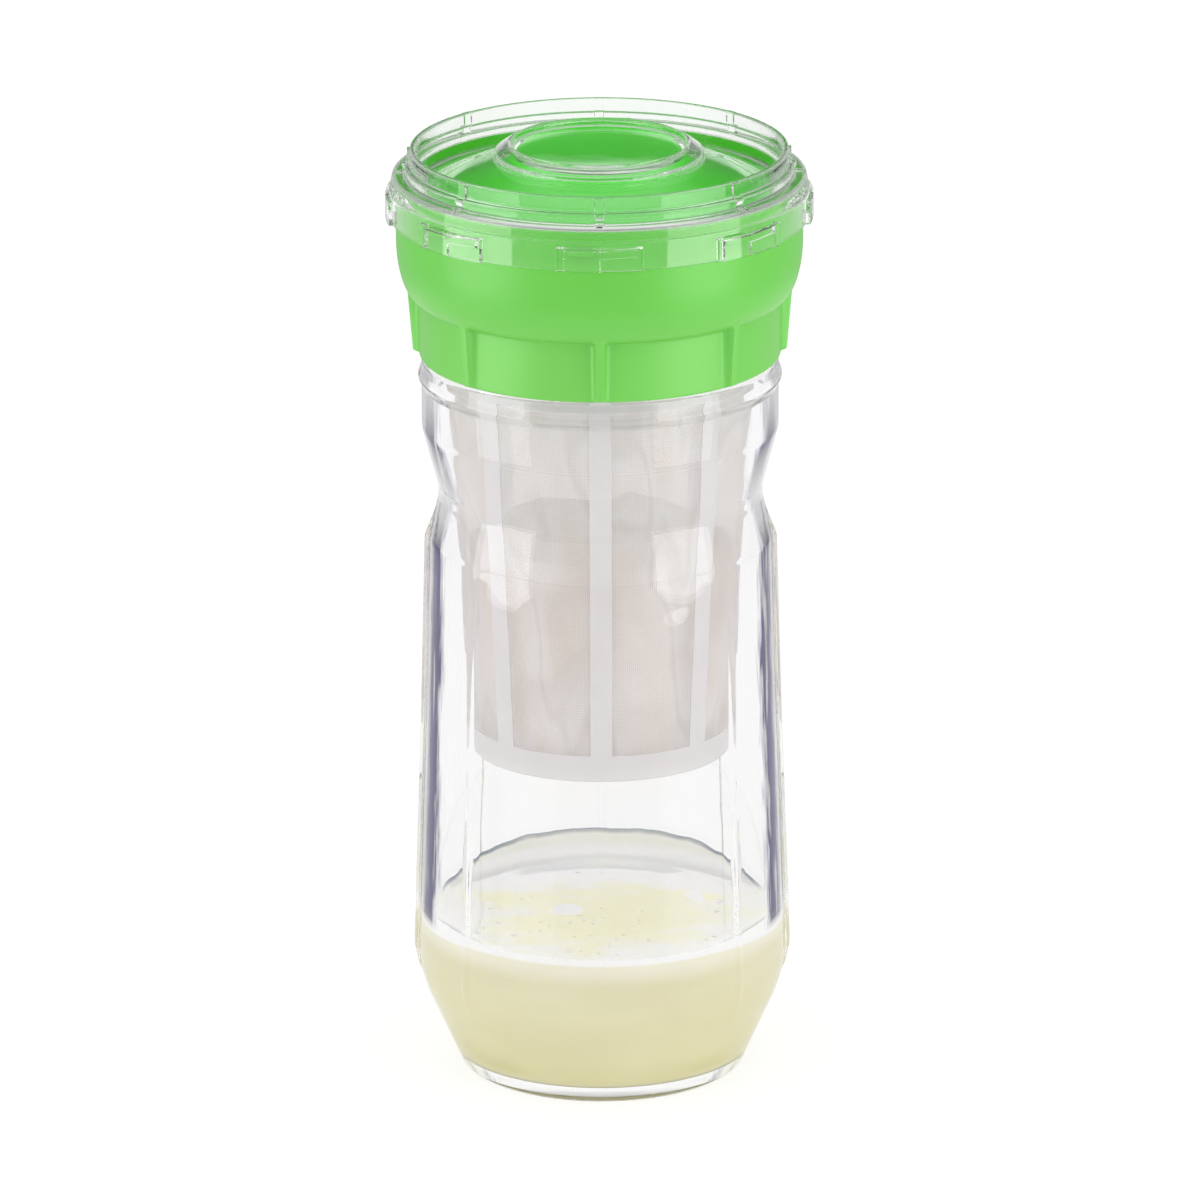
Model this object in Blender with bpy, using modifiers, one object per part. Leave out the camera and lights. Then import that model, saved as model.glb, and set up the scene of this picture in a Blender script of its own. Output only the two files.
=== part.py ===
import math

import bmesh
import bpy
from mathutils import Matrix, Vector

# Kefir cheese maker: a ribbed glass jar, a screw ring, a strainer that hangs in the ring,
# a cone cover and a clear bayonet lid. Metres, +Z up, origin under the middle of the jar.
# The front of the object faces -Y.

# General fits
SEAT_GAP = 0.0003
SLIDE_CLEARANCE = 0.0006
SEGMENTS = 40
SIDES = 8
STEP_ANGLE = 2 * math.pi / SIDES
HALF_TURN = math.pi

# Strainer basket, the piece that the rest closes round
BASKET_DEPTH = 0.1131
BASKET_FOOT_RADIUS = 0.0309
BASKET_TAPER = 0.0494
BASKET_WALL = 0.0012
BASKET_BAND_HEIGHT = 0.0208
BASKET_STRAIGHT_HEIGHT = 0.0150
BASKET_FOOT_HEIGHT = 0.0067
BASKET_RIB_WIDTH = 0.0050
BASKET_RIB_PROUD = 0.0003
BASKET_FLANGE_WIDTH = 0.0052
BASKET_FLANGE_THICKNESS = 0.0015
BASKET_FLOOR_THICKNESS = 0.0016
BASKET_LEDGE_WIDTH = 0.0048
BASKET_SPOKE_WIDTH = 0.0030
BASKET_SPOKE_STEP = 0.0003
BASKET_HUB_RADIUS = 0.0050
MESH_THICKNESS = 0.0006
MESH_FLOOR_THICKNESS = 0.0005

# Glass jar, stacked from the base up
JAR_WALL = 0.0033
JAR_FLOOR_THICKNESS = 0.0052
JAR_STANDING_RADIUS = 0.0336
JAR_STANDING_WIDTH = 0.0040
JAR_PUNT_DEPTH = 0.0012
JAR_HEEL_RADIUS = 0.0015
JAR_CORNER_BEND = 0.0060
JAR_BODY_INSET = 0.0005
JAR_PUNT_RUN = 0.0024
JAR_BELLY_RADIUS = 0.0439
JAR_BELLY_HEIGHT = 0.0233
JAR_BELLY_BEND = 0.0200
JAR_MIDDLE_RADIUS = 0.0417
JAR_LOWER_BODY_HEIGHT = 0.0607
JAR_SHOULDER_RADIUS = 0.04035
JAR_UPPER_BODY_HEIGHT = 0.0470
JAR_SHOULDER_BEND = 0.0040
JAR_WAIST_DROP = 0.0100
JAR_WAIST_LENGTH = 0.0030
JAR_WAIST_RISE = 0.0145
JAR_WAIST_BEND = 0.0060
JAR_COLLAR_BODY_HEIGHT = 0.0105
JAR_BEAD_HEIGHT = 0.0040
JAR_BEAD_PROUD = 0.0009
JAR_STEP_HEIGHT = 0.0026
JAR_RIB_WIDTH = 0.0026
JAR_RIB_PROUD = 0.0014
JAR_RIB_TIP_SHARE = 0.45
JAR_RIB_START = 0.0180
JAR_RIB_RUN_IN = 0.0120
JAR_RIB_RUN_OUT = 0.0080
JAR_RIB_SINK = 0.0003
JAR_RIB_STATIONS = 14
NECK_WALL = 0.0023
NECK_LIP_RADIUS = 0.0007

# Contents
WHEY_DEPTH = 0.0322
CURD_HEIGHT = 0.0580
CURD_CROWN = 0.0030
CURD_CROWN_STATIONS = 4

# Gasket and screw ring
GASKET_THICKNESS = 0.0020
GASKET_OVERHANG = 0.0012
THREAD_ROOM = 0.0019
RING_OVERLAP = 0.0119
RING_WALL = 0.00165
RING_EDGE = 0.0004
RING_JAR_GAP = 0.0005
SHELF_THICKNESS = 0.0018
BOWL_WALL = 0.0018
BOWL_FLARE = 0.0052
BOWL_HEIGHT = 0.0137
BOWL_STRAIGHT_HEIGHT = 0.0144
BOWL_FACETS = 6
RING_RIB_WIDTH = 0.0036
RING_RIB_FOOT_PROUD = 0.0014
RING_RIB_HEAD_PROUD = 0.0026
RING_RIB_RISE = 0.0061
RING_RIB_TIP_SHARE = 0.70
LUG_WIDTH = 0.0060
LUG_HEIGHT = 0.0010
LUG_PROUD = 0.0012
LUG_DROP = 0.0046
LUG_TURN = math.radians(-5.0)

# Cone cover
COVER_WALL = 0.0015
COVER_RECESS = 0.0059
COVER_LEDGE_WIDTH = 0.0014
COVER_LEDGE_HEIGHT = 0.0024
COVER_RIM_WIDTH = 0.0012
COVER_RIM_HEIGHT = 0.0007
COVER_SLOPE = 0.40
COVER_DISC_RADIUS = 0.0206
COVER_DISC_RISE = 0.0004

# Clear lid
LID_WALL = 0.0012
LID_CLEARANCE = 0.0004
LID_SKIRT_HEIGHT = 0.0106
LID_SKIRT_WALL = 0.0011
LID_SKIRT_STEP = 0.0002
LID_STEP_DROP = 0.0036
LID_CORNER = 0.0006
LID_RING_HEIGHT = 0.0057
LID_RING_WALL = 0.0013
LID_RING_GAP = 0.0016
LID_CONE_GAP = 0.0005
LID_CUP_RADIUS = 0.0246
LID_CUP_SLOPE_HEIGHT = 0.0021
LID_CUP_RIM_RADIUS = 0.0213
LID_CUP_RIM_WIDTH = 0.0008
LID_CUP_DEPTH = 0.0019
LID_BUTTRESS_WIDTH = 0.0021
LID_BUTTRESS_PROUD = 0.0006
BOSS_PROUD = 0.0009
BOSS_HALF_ANGLE = math.radians(11.7)
BOSS_HEIGHT = 0.0056
BOSS_LIFT = 0.0001
SLOT_CLEARANCE = 0.00035
SLOT_ENTRY_START = math.radians(-9.6)
SLOT_ENTRY_END = math.radians(0.1)
SLOT_END = math.radians(9.9)
SLOT_HEIGHT = 0.0019
SLOT_RAMP = 0.0005
SLOT_FLOOR_GAP = 0.0007
SLOT_OVERLAP = math.radians(0.5)
ARC_STEPS = 4

# Heights and radii that follow from the sizes above
BELLY_Z = JAR_BELLY_HEIGHT
MIDDLE_Z = BELLY_Z + JAR_LOWER_BODY_HEIGHT
SHOULDER_Z = MIDDLE_Z + JAR_UPPER_BODY_HEIGHT
WAIST_LOW_Z = SHOULDER_Z + JAR_WAIST_DROP
WAIST_HIGH_Z = WAIST_LOW_Z + JAR_WAIST_LENGTH
COLLAR_BODY_Z = WAIST_HIGH_Z + JAR_WAIST_RISE
BEAD_LOW_Z = COLLAR_BODY_Z + JAR_COLLAR_BODY_HEIGHT
BEAD_HIGH_Z = BEAD_LOW_Z + JAR_BEAD_HEIGHT
STEP_Z = BEAD_HIGH_Z + JAR_STEP_HEIGHT
RING_Z = STEP_Z + RING_JAR_GAP
RIM_Z = RING_Z + RING_OVERLAP
GASKET_Z = RIM_Z + SEAT_GAP
SHELF_Z = GASKET_Z + GASKET_THICKNESS + SEAT_GAP
SHELF_TOP_Z = SHELF_Z + SHELF_THICKNESS
FLANGE_Z = SHELF_TOP_Z + SEAT_GAP
FOOT_Z = FLANGE_Z - BASKET_DEPTH
BASKET_STRAIGHT_Z = FLANGE_Z - BASKET_STRAIGHT_HEIGHT
BASKET_FLOOR_Z = FOOT_Z + BASKET_FLOOR_THICKNESS
BOWL_TOP_Z = SHELF_Z + BOWL_HEIGHT
RING_TOP_Z = BOWL_TOP_Z + BOWL_STRAIGHT_HEIGHT
LEDGE_Z = RING_TOP_Z - COVER_RECESS
LID_UNDERSIDE_Z = RING_TOP_Z + SEAT_GAP
LID_TOP_Z = LID_UNDERSIDE_Z + LID_WALL
LUG_Z = RING_TOP_Z - LUG_DROP

BAND_RADIUS = BASKET_FOOT_RADIUS + BASKET_TAPER * (BASKET_STRAIGHT_Z - FOOT_Z)
SHELF_RADIUS = BAND_RADIUS + SLIDE_CLEARANCE
NECK_BORE = BAND_RADIUS + BASKET_RIB_PROUD + SLIDE_CLEARANCE
NECK_RADIUS = NECK_BORE + NECK_WALL
RING_BORE = NECK_RADIUS + THREAD_ROOM
RING_RADIUS = RING_BORE + RING_WALL
BOWL_RADIUS = RING_RADIUS + BOWL_FLARE
BOWL_BORE = BOWL_RADIUS - BOWL_WALL
COLLAR_BODY_RADIUS = RING_RADIUS - JAR_BODY_INSET
COVER_RADIUS = BOWL_BORE - SEAT_GAP
CONE_RADIUS = COVER_RADIUS - COVER_RIM_WIDTH
SKIRT_BORE = BOWL_RADIUS + LID_CLEARANCE
SKIRT_RADIUS = SKIRT_BORE + LID_SKIRT_WALL
LID_RING_RADIUS = BOWL_BORE - LID_RING_GAP
SLOT_RADIUS = BOWL_RADIUS + LUG_PROUD + SLOT_CLEARANCE
BOSS_RADIUS = SKIRT_RADIUS + BOSS_PROUD


def basket_radius(z):
    """Outer radius of the strainer at a height, straight near the flange and tapering below."""
    return BASKET_FOOT_RADIUS + BASKET_TAPER * (min(z, BASKET_STRAIGHT_Z) - FOOT_Z)


def cone_height(radius):
    """Height of the cone cover's outer face at a radius."""
    rim_top = LEDGE_Z + SEAT_GAP + COVER_RIM_HEIGHT
    return rim_top + COVER_SLOPE * (CONE_RADIUS - radius)


def disc_height():
    """Height of the flat disc in the middle of the cone cover."""
    return cone_height(COVER_DISC_RADIUS) + COVER_DISC_RISE


WAIST_BORE = basket_radius(WAIST_HIGH_Z) + BASKET_RIB_PROUD + SLIDE_CLEARANCE
WAIST_RADIUS = WAIST_BORE + JAR_WALL


def clear_scene():
    for obj in list(bpy.data.objects):
        bpy.data.objects.remove(obj, do_unlink=True)


def new_collection(name):
    collection = bpy.data.collections.new(name)
    bpy.context.scene.collection.children.link(collection)
    return collection


def new_material(name, colour, roughness, transmission=0.0, ior=1.45):
    material = bpy.data.materials.new(name)
    material.use_nodes = True
    shader = material.node_tree.nodes["Principled BSDF"]
    shader.inputs["Base Color"].default_value = (*colour, 1.0)
    shader.inputs["Roughness"].default_value = roughness
    shader.inputs["Metallic"].default_value = 0.0
    shader.inputs["Transmission Weight"].default_value = transmission
    shader.inputs["IOR"].default_value = ior
    material.diffuse_color = (*colour, 1.0)
    return material


def rounded(points, bends, steps=2):
    """Polyline with an arc of the given radius at each inner point that has one."""
    result = []
    for index, point in enumerate(points):
        bend = bends.get(index, 0.0)
        if not bend:
            result.append(point)
            continue
        corner = Vector(point)
        back = (Vector(points[index - 1]) - corner).normalized()
        ahead = (Vector(points[index + 1]) - corner).normalized()
        half = back.angle(ahead) / 2
        reach = bend / math.tan(half)
        centre = corner + (back + ahead).normalized() * bend / math.sin(half)
        start = corner + back * reach - centre
        turn = HALF_TURN - 2 * half
        side = 1 if back.x * ahead.y - back.y * ahead.x < 0 else -1
        for step in range(steps + 1):
            angle = side * turn * step / steps
            x = start.x * math.cos(angle) - start.y * math.sin(angle)
            y = start.x * math.sin(angle) + start.y * math.cos(angle)
            result.append((centre.x + x, centre.y + y))
    return result


def radius_at(profile, z):
    """Radius of a profile that only falls or only rises, at a height."""
    for (r0, z0), (r1, z1) in zip(profile[:-1], profile[1:]):
        if min(z0, z1) <= z <= max(z0, z1) and z0 != z1:
            return r0 + (r1 - r0) * (z - z0) / (z1 - z0)
    return profile[-1][0]


def add_object(name, mesh, collection, material=None):
    obj = bpy.data.objects.new(name, mesh)
    collection.objects.link(obj)
    if material:
        mesh.materials.append(material)
    return obj


def turned(name, profile, collection, material=None, ring=False):
    """Solid of revolution: a profile from axis to axis, or a closed ring section."""
    mesh = bpy.data.meshes.new(name)
    edges = [(i, i + 1) for i in range(len(profile) - 1)]
    if ring:
        edges.append((len(profile) - 1, 0))
    mesh.from_pydata([(r, 0.0, z) for r, z in profile], edges, [])
    obj = add_object(name, mesh, collection, material)
    screw = obj.modifiers.new("turn", "SCREW")
    screw.axis = "Z"
    screw.angle = 2 * math.pi
    screw.steps = SEGMENTS
    screw.render_steps = SEGMENTS
    screw.use_merge_vertices = True
    screw.merge_threshold = 0.00001
    screw.use_smooth_shade = True
    return obj


def plate_mesh(name, outline, thickness):
    """Flat plate standing in the radial plane, from an outline of radius and height."""
    curve = bpy.data.curves.new(name, "CURVE")
    curve.dimensions = "2D"
    curve.fill_mode = "BOTH"
    curve.extrude = thickness / 2
    spline = curve.splines.new("POLY")
    spline.points.add(len(outline) - 1)
    for point, (radius, height) in zip(spline.points, outline):
        point.co = (radius, height, 0.0, 1.0)
    spline.use_cyclic_u = True
    flat = bpy.data.objects.new(name, curve)
    bpy.context.scene.collection.objects.link(flat)
    graph = bpy.context.evaluated_depsgraph_get()
    mesh = bpy.data.meshes.new_from_object(flat.evaluated_get(graph))
    bpy.data.objects.remove(flat, do_unlink=True)
    bpy.data.curves.remove(curve)
    shape = bmesh.new()
    shape.from_mesh(mesh)
    bmesh.ops.remove_doubles(shape, verts=shape.verts, dist=0.000001)
    upright = Matrix.Rotation(math.radians(90), 4, "X")
    bmesh.ops.transform(shape, matrix=upright, verts=shape.verts)
    bmesh.ops.recalc_face_normals(shape, faces=shape.faces)
    shape.to_mesh(mesh)
    shape.free()
    return mesh


def thin_edge(mesh, is_edge, share):
    """Narrows a radial plate at the points that lie on its outer edge."""
    for vertex in mesh.vertices:
        if is_edge(vertex.co.x, vertex.co.z):
            vertex.co.y *= share


def arc_mesh(name, inner, outer, low, high, start, end, rise=0.0):
    """Curved block between two radii, two heights and two angles, climbing by rise."""
    shape = bmesh.new()
    corners = [(inner, low), (outer, low), (outer, high), (inner, high)]
    vertices = [shape.verts.new((r, 0.0, z)) for r, z in corners]
    face = shape.faces.new(vertices)
    bmesh.ops.rotate(shape, verts=vertices, matrix=Matrix.Rotation(start, 3, "Z"))
    geometry = vertices + list(face.edges) + [face]
    bmesh.ops.spin(
        shape,
        geom=geometry,
        cent=(0.0, 0.0, 0.0),
        axis=(0.0, 0.0, 1.0),
        dvec=(0.0, 0.0, rise / ARC_STEPS),
        angle=end - start,
        steps=ARC_STEPS,
    )
    bmesh.ops.recalc_face_normals(shape, faces=shape.faces)
    mesh = bpy.data.meshes.new(name)
    shape.to_mesh(mesh)
    shape.free()
    return mesh


def box_mesh(name, size, place):
    shape = bmesh.new()
    bmesh.ops.create_cube(shape, size=1.0)
    bmesh.ops.scale(shape, vec=size, verts=shape.verts)
    bmesh.ops.translate(shape, vec=place, verts=shape.verts)
    mesh = bpy.data.meshes.new(name)
    shape.to_mesh(mesh)
    shape.free()
    return mesh


def round_pattern(mesh, angles):
    """One mesh with a copy of the shape at each angle from the front of the object."""
    shape = bmesh.new()
    for angle in angles:
        before = len(shape.verts)
        shape.from_mesh(mesh)
        shape.verts.ensure_lookup_table()
        turn = Matrix.Rotation(angle - math.radians(90), 3, "Z")
        bmesh.ops.rotate(shape, verts=shape.verts[before:], matrix=turn)
    pattern = bpy.data.meshes.new(mesh.name)
    shape.to_mesh(pattern)
    shape.free()
    bpy.data.meshes.remove(mesh)
    return pattern


def combine(obj, operation, tool):
    boolean = obj.modifiers.new(operation.lower(), "BOOLEAN")
    boolean.operation = operation
    boolean.solver = "EXACT"
    boolean.object = tool
    return boolean


def tool_object(name, mesh):
    tool = add_object(name, mesh, CUTTERS)
    tool.hide_render = True
    tool.display_type = "WIRE"
    return tool


def join_shape(obj, name, mesh):
    combine(obj, "UNION", tool_object(name, mesh))


def cut_shape(obj, name, mesh):
    combine(obj, "DIFFERENCE", tool_object(name, mesh))


def all_sides(first=0):
    return [side * STEP_ANGLE for side in range(first, SIDES)]


def jar_outer_profile():
    """Outside of the glass from the top of the shoulder step down to the standing edge."""
    points = [
        (COLLAR_BODY_RADIUS, STEP_Z),
        (COLLAR_BODY_RADIUS, BEAD_HIGH_Z),
        (COLLAR_BODY_RADIUS + JAR_BEAD_PROUD, (BEAD_LOW_Z + BEAD_HIGH_Z) / 2),
        (COLLAR_BODY_RADIUS, BEAD_LOW_Z),
        (COLLAR_BODY_RADIUS, COLLAR_BODY_Z),
        (WAIST_RADIUS, WAIST_HIGH_Z),
        (WAIST_RADIUS, WAIST_LOW_Z),
        (JAR_SHOULDER_RADIUS, SHOULDER_Z),
        (JAR_MIDDLE_RADIUS, MIDDLE_Z),
        (JAR_BELLY_RADIUS, BELLY_Z),
        (JAR_STANDING_RADIUS, 0.0),
        (JAR_STANDING_RADIUS - JAR_STANDING_WIDTH, 0.0),
    ]
    bends = {
        4: JAR_WAIST_BEND,
        5: JAR_WAIST_BEND,
        6: JAR_WAIST_BEND,
        7: JAR_SHOULDER_BEND,
        9: JAR_BELLY_BEND,
        10: JAR_HEEL_RADIUS,
    }
    return rounded(points, bends)


def jar_inner_profile():
    """Inside of the glass from the middle of the floor up to the neck."""
    floor = JAR_FLOOR_THICKNESS
    corner_radius = JAR_STANDING_RADIUS - JAR_WALL
    points = [
        (0.0, floor),
        (corner_radius, floor),
        (JAR_BELLY_RADIUS - JAR_WALL, BELLY_Z),
        (JAR_MIDDLE_RADIUS - JAR_WALL, MIDDLE_Z),
        (JAR_SHOULDER_RADIUS - JAR_WALL, SHOULDER_Z),
        (WAIST_BORE, WAIST_LOW_Z),
        (WAIST_BORE, WAIST_HIGH_Z),
        (COLLAR_BODY_RADIUS - JAR_WALL - SLIDE_CLEARANCE, COLLAR_BODY_Z),
        (COLLAR_BODY_RADIUS - JAR_WALL - SLIDE_CLEARANCE, BEAD_LOW_Z),
        (NECK_BORE, STEP_Z),
    ]
    bends = {1: JAR_CORNER_BEND, 2: JAR_BELLY_BEND - JAR_WALL}
    return rounded(points, bends)


def make_jar(glass):
    outer = jar_outer_profile()
    lip = NECK_LIP_RADIUS
    neck = [
        (NECK_BORE, RIM_Z - lip),
        (NECK_BORE + lip, RIM_Z),
        (NECK_RADIUS - lip, RIM_Z),
        (NECK_RADIUS, RIM_Z - lip),
        (NECK_RADIUS, STEP_Z),
    ]
    punt_radius = JAR_STANDING_RADIUS - JAR_STANDING_WIDTH - JAR_PUNT_RUN
    base = [(punt_radius, JAR_PUNT_DEPTH), (0.0, JAR_PUNT_DEPTH)]
    jar = turned("jar_body", jar_inner_profile() + neck + outer + base, PARTS, glass)
    ribs = plate_mesh("jar_ribs", jar_rib_outline(outer), JAR_RIB_WIDTH)
    thin_edge(ribs, lambda r, z: r > radius_at(outer, z), JAR_RIB_TIP_SHARE)
    join_shape(jar, "jar_ribs", round_pattern(ribs, all_sides(first=1)))
    return jar


def jar_rib_outline(outer):
    """Rib that grows out of the taper, follows the body and dies away above the shoulder."""
    end = SHOULDER_Z + JAR_RIB_RUN_OUT
    crest = []
    root = []
    for station in range(JAR_RIB_STATIONS):
        share = 0.5 - 0.5 * math.cos(HALF_TURN * station / (JAR_RIB_STATIONS - 1))
        z = JAR_RIB_START + (end - JAR_RIB_START) * share
        run_in = (z - JAR_RIB_START) / JAR_RIB_RUN_IN
        run_out = (end - z) / JAR_RIB_RUN_OUT
        growth = min(1.0, run_in, run_out)
        body = radius_at(outer, z)
        crest.append((body - JAR_RIB_SINK + (JAR_RIB_PROUD + JAR_RIB_SINK) * growth, z))
        root.append((body - JAR_WALL / 2, z))
    return crest + root[::-1]


def make_whey(liquid):
    """Drained liquid that fills the bottom of the jar to its walls."""
    top = JAR_FLOOR_THICKNESS + WHEY_DEPTH
    inner = jar_inner_profile()
    below = [(r - SEAT_GAP, z + SEAT_GAP) for r, z in inner[1:] if z + SEAT_GAP < top]
    surface = radius_at(inner, top) - SEAT_GAP
    profile = [(0.0, top), (surface, top)]
    profile += below[::-1]
    profile.append((0.0, JAR_FLOOR_THICKNESS + SEAT_GAP))
    return turned("whey", profile, PARTS, liquid)


def make_gasket(silicone):
    inner = NECK_BORE + SEAT_GAP
    outer = NECK_RADIUS + GASKET_OVERHANG
    top = GASKET_Z + GASKET_THICKNESS
    edge = GASKET_THICKNESS / 5
    section = [
        (outer - edge, top),
        (outer, top - edge),
        (outer, GASKET_Z + edge),
        (outer - edge, GASKET_Z),
        (inner, GASKET_Z),
        (inner, top),
    ]
    return turned("neck_gasket", section, PARTS, silicone, ring=True)


def bowl_arc(outer_radius, inner_radius, low, high, facets):
    """Quarter ellipse from the side of the bowl down to its foot."""
    points = []
    for facet in range(facets + 1):
        angle = HALF_TURN / 2 * facet / facets
        radius = inner_radius + (outer_radius - inner_radius) * math.cos(angle)
        points.append((radius, high - (high - low) * math.sin(angle)))
    return points


def make_collar(plastic):
    edge = RING_EDGE
    ledge_bottom = LEDGE_Z - COVER_LEDGE_HEIGHT
    section = [(BOWL_RADIUS - edge, RING_TOP_Z), (BOWL_RADIUS, RING_TOP_Z - edge)]
    section += bowl_arc(BOWL_RADIUS, RING_RADIUS + edge, SHELF_Z, BOWL_TOP_Z, BOWL_FACETS)
    section += [
        (RING_RADIUS, SHELF_Z - edge),
        (RING_RADIUS, RING_Z + edge),
        (RING_RADIUS - edge, RING_Z),
        (RING_BORE, RING_Z),
        (RING_BORE, SHELF_Z),
        (SHELF_RADIUS, SHELF_Z),
        (SHELF_RADIUS, SHELF_TOP_Z),
    ]
    inside = bowl_arc(BOWL_BORE, RING_BORE + 2 * edge, SHELF_TOP_Z, BOWL_TOP_Z, BOWL_FACETS // 2)
    section += inside[::-1]
    section += [
        (BOWL_BORE, ledge_bottom - COVER_LEDGE_WIDTH),
        (BOWL_BORE - COVER_LEDGE_WIDTH, ledge_bottom),
        (BOWL_BORE - COVER_LEDGE_WIDTH, LEDGE_Z),
        (BOWL_BORE, LEDGE_Z),
        (BOWL_BORE, RING_TOP_Z),
    ]
    collar = turned("screw_collar", section, PARTS, plastic, ring=True)
    join_shape(collar, "collar_ribs", collar_ribs())
    join_shape(collar, "collar_lugs", collar_lugs())
    return collar


def collar_ribs():
    root = RING_RADIUS - RING_WALL / 2
    head_z = SHELF_Z + RING_RIB_RISE
    outline = [
        (root, RING_Z + SEAT_GAP),
        (RING_RADIUS + RING_RIB_FOOT_PROUD, RING_Z + SEAT_GAP),
        (RING_RADIUS + RING_RIB_HEAD_PROUD, SHELF_Z),
        (BOWL_RADIUS - BOWL_WALL / 2, head_z),
        (BOWL_RADIUS - BOWL_WALL, head_z),
        (root, SHELF_Z + SHELF_THICKNESS / 2),
    ]
    rib = plate_mesh("collar_ribs", outline, RING_RIB_WIDTH)
    thin_edge(rib, lambda r, z: r > RING_RADIUS and z < head_z - SEAT_GAP, RING_RIB_TIP_SHARE)
    return round_pattern(rib, all_sides())


def collar_lugs():
    root = BOWL_RADIUS - BOWL_WALL / 2
    tip = BOWL_RADIUS + LUG_PROUD
    half = LUG_WIDTH / 2 / BOWL_RADIUS
    lug = arc_mesh("collar_lugs", root, tip, LUG_Z - LUG_HEIGHT, LUG_Z, -half, half)
    return round_pattern(lug, [angle + LUG_TURN for angle in all_sides()])


def basket_wall(inset, low, high):
    """Tapered wall line from high to low, set in from the strainer's outer face."""
    heights = [high, BASKET_STRAIGHT_Z, low] if low < BASKET_STRAIGHT_Z < high else [high, low]
    return [(basket_radius(z) - inset, z) for z in heights]


def make_basket_frame(plastic):
    """Hanging flange and band, foot ring with a spoked floor, and a rib at every side."""
    band_low = BASKET_STRAIGHT_Z - (BASKET_BAND_HEIGHT - BASKET_STRAIGHT_HEIGHT)
    flange_top = FLANGE_Z + BASKET_FLANGE_THICKNESS
    flange_radius = BAND_RADIUS + BASKET_FLANGE_WIDTH
    section = [
        (flange_radius - SEAT_GAP, flange_top),
        (flange_radius, flange_top - SEAT_GAP),
        (flange_radius, FLANGE_Z),
    ]
    section += basket_wall(0.0, band_low, FLANGE_Z)
    section += basket_wall(BASKET_WALL, band_low, flange_top)[::-1]
    frame = turned("basket_frame", section, PARTS, plastic, ring=True)
    join_shape(frame, "basket_ribs", basket_ribs(band_low))
    combine(frame, "UNION", basket_foot())
    spoke_length = 2 * (BASKET_FOOT_RADIUS - BASKET_LEDGE_WIDTH / 2)
    middle = (0.0, 0.0, FOOT_Z + BASKET_FLOOR_THICKNESS / 2)
    across = (spoke_length, BASKET_SPOKE_WIDTH, BASKET_FLOOR_THICKNESS - BASKET_SPOKE_STEP)
    along = (BASKET_SPOKE_WIDTH, spoke_length, BASKET_FLOOR_THICKNESS - 2 * BASKET_SPOKE_STEP)
    join_shape(frame, "basket_spoke_across", box_mesh("spoke_across", across, middle))
    join_shape(frame, "basket_spoke_along", box_mesh("spoke_along", along, middle))
    combine(frame, "UNION", basket_hub())
    return frame


def basket_ribs(band_low):
    overlap = BASKET_FOOT_HEIGHT / 2
    low = FOOT_Z + BASKET_FOOT_HEIGHT - overlap
    high = band_low + overlap
    proud = BASKET_RIB_PROUD
    depth = BASKET_WALL - BASKET_RIB_PROUD
    outline = [(basket_radius(low) + proud, low), (basket_radius(high) + proud, high)]
    outline += [(basket_radius(high) - depth, high), (basket_radius(low) - depth, low)]
    rib = plate_mesh("basket_ribs", outline, BASKET_RIB_WIDTH)
    return round_pattern(rib, all_sides())


def basket_foot():
    top = FOOT_Z + BASKET_FOOT_HEIGHT
    edge = BASKET_WALL / 2
    section = basket_wall(0.0, FOOT_Z + edge, top)
    section += [
        (basket_radius(FOOT_Z) - edge, FOOT_Z),
        (BASKET_FOOT_RADIUS - BASKET_LEDGE_WIDTH, FOOT_Z),
        (BASKET_FOOT_RADIUS - BASKET_LEDGE_WIDTH, BASKET_FLOOR_Z),
    ]
    section += basket_wall(BASKET_WALL, BASKET_FLOOR_Z, top)[::-1]
    foot = turned("basket_foot", section, CUTTERS, ring=True)
    foot.hide_render = True
    foot.display_type = "WIRE"
    return foot


def basket_hub():
    profile = [
        (0.0, BASKET_FLOOR_Z),
        (BASKET_HUB_RADIUS, BASKET_FLOOR_Z),
        (BASKET_HUB_RADIUS, FOOT_Z),
        (0.0, FOOT_Z),
    ]
    hub = turned("basket_hub", profile, CUTTERS)
    hub.hide_render = True
    hub.display_type = "WIRE"
    return hub


def make_mesh_sleeve(nylon):
    """Filter cloth that lines the strainer's windows."""
    low = BASKET_FLOOR_Z + SEAT_GAP
    high = BASKET_STRAIGHT_Z
    outside = BASKET_WALL + SEAT_GAP
    section = basket_wall(outside, low, high)
    section += basket_wall(outside + MESH_THICKNESS, low, high)[::-1]
    return turned("mesh_sleeve", section, PARTS, nylon, ring=True)


def mesh_bore(z):
    return basket_radius(z) - BASKET_WALL - SEAT_GAP - MESH_THICKNESS


def make_mesh_floor(nylon):
    low = BASKET_FLOOR_Z + 2 * SEAT_GAP
    high = low + MESH_FLOOR_THICKNESS
    radius = mesh_bore(low) - SEAT_GAP
    profile = [(0.0, high), (radius, high), (radius, low), (0.0, low)]
    return turned("mesh_floor", profile, PARTS, nylon)


def make_curd(curd):
    """Drained cheese that takes the strainer's shape, with a low crown on top."""
    low = BASKET_FLOOR_Z + 3 * SEAT_GAP + MESH_FLOOR_THICKNESS
    high = low + CURD_HEIGHT
    wall_top = high - CURD_CROWN
    edge = mesh_bore(wall_top) - SEAT_GAP
    crown = []
    for station in range(CURD_CROWN_STATIONS + 1):
        angle = HALF_TURN / 2 * station / CURD_CROWN_STATIONS
        crown.append((edge * math.sin(angle), wall_top + CURD_CROWN * math.cos(angle)))
    foot = mesh_bore(low) - SEAT_GAP
    return turned("kefir_curd", crown + [(foot, low), (0.0, low)], PARTS, curd)


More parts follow.
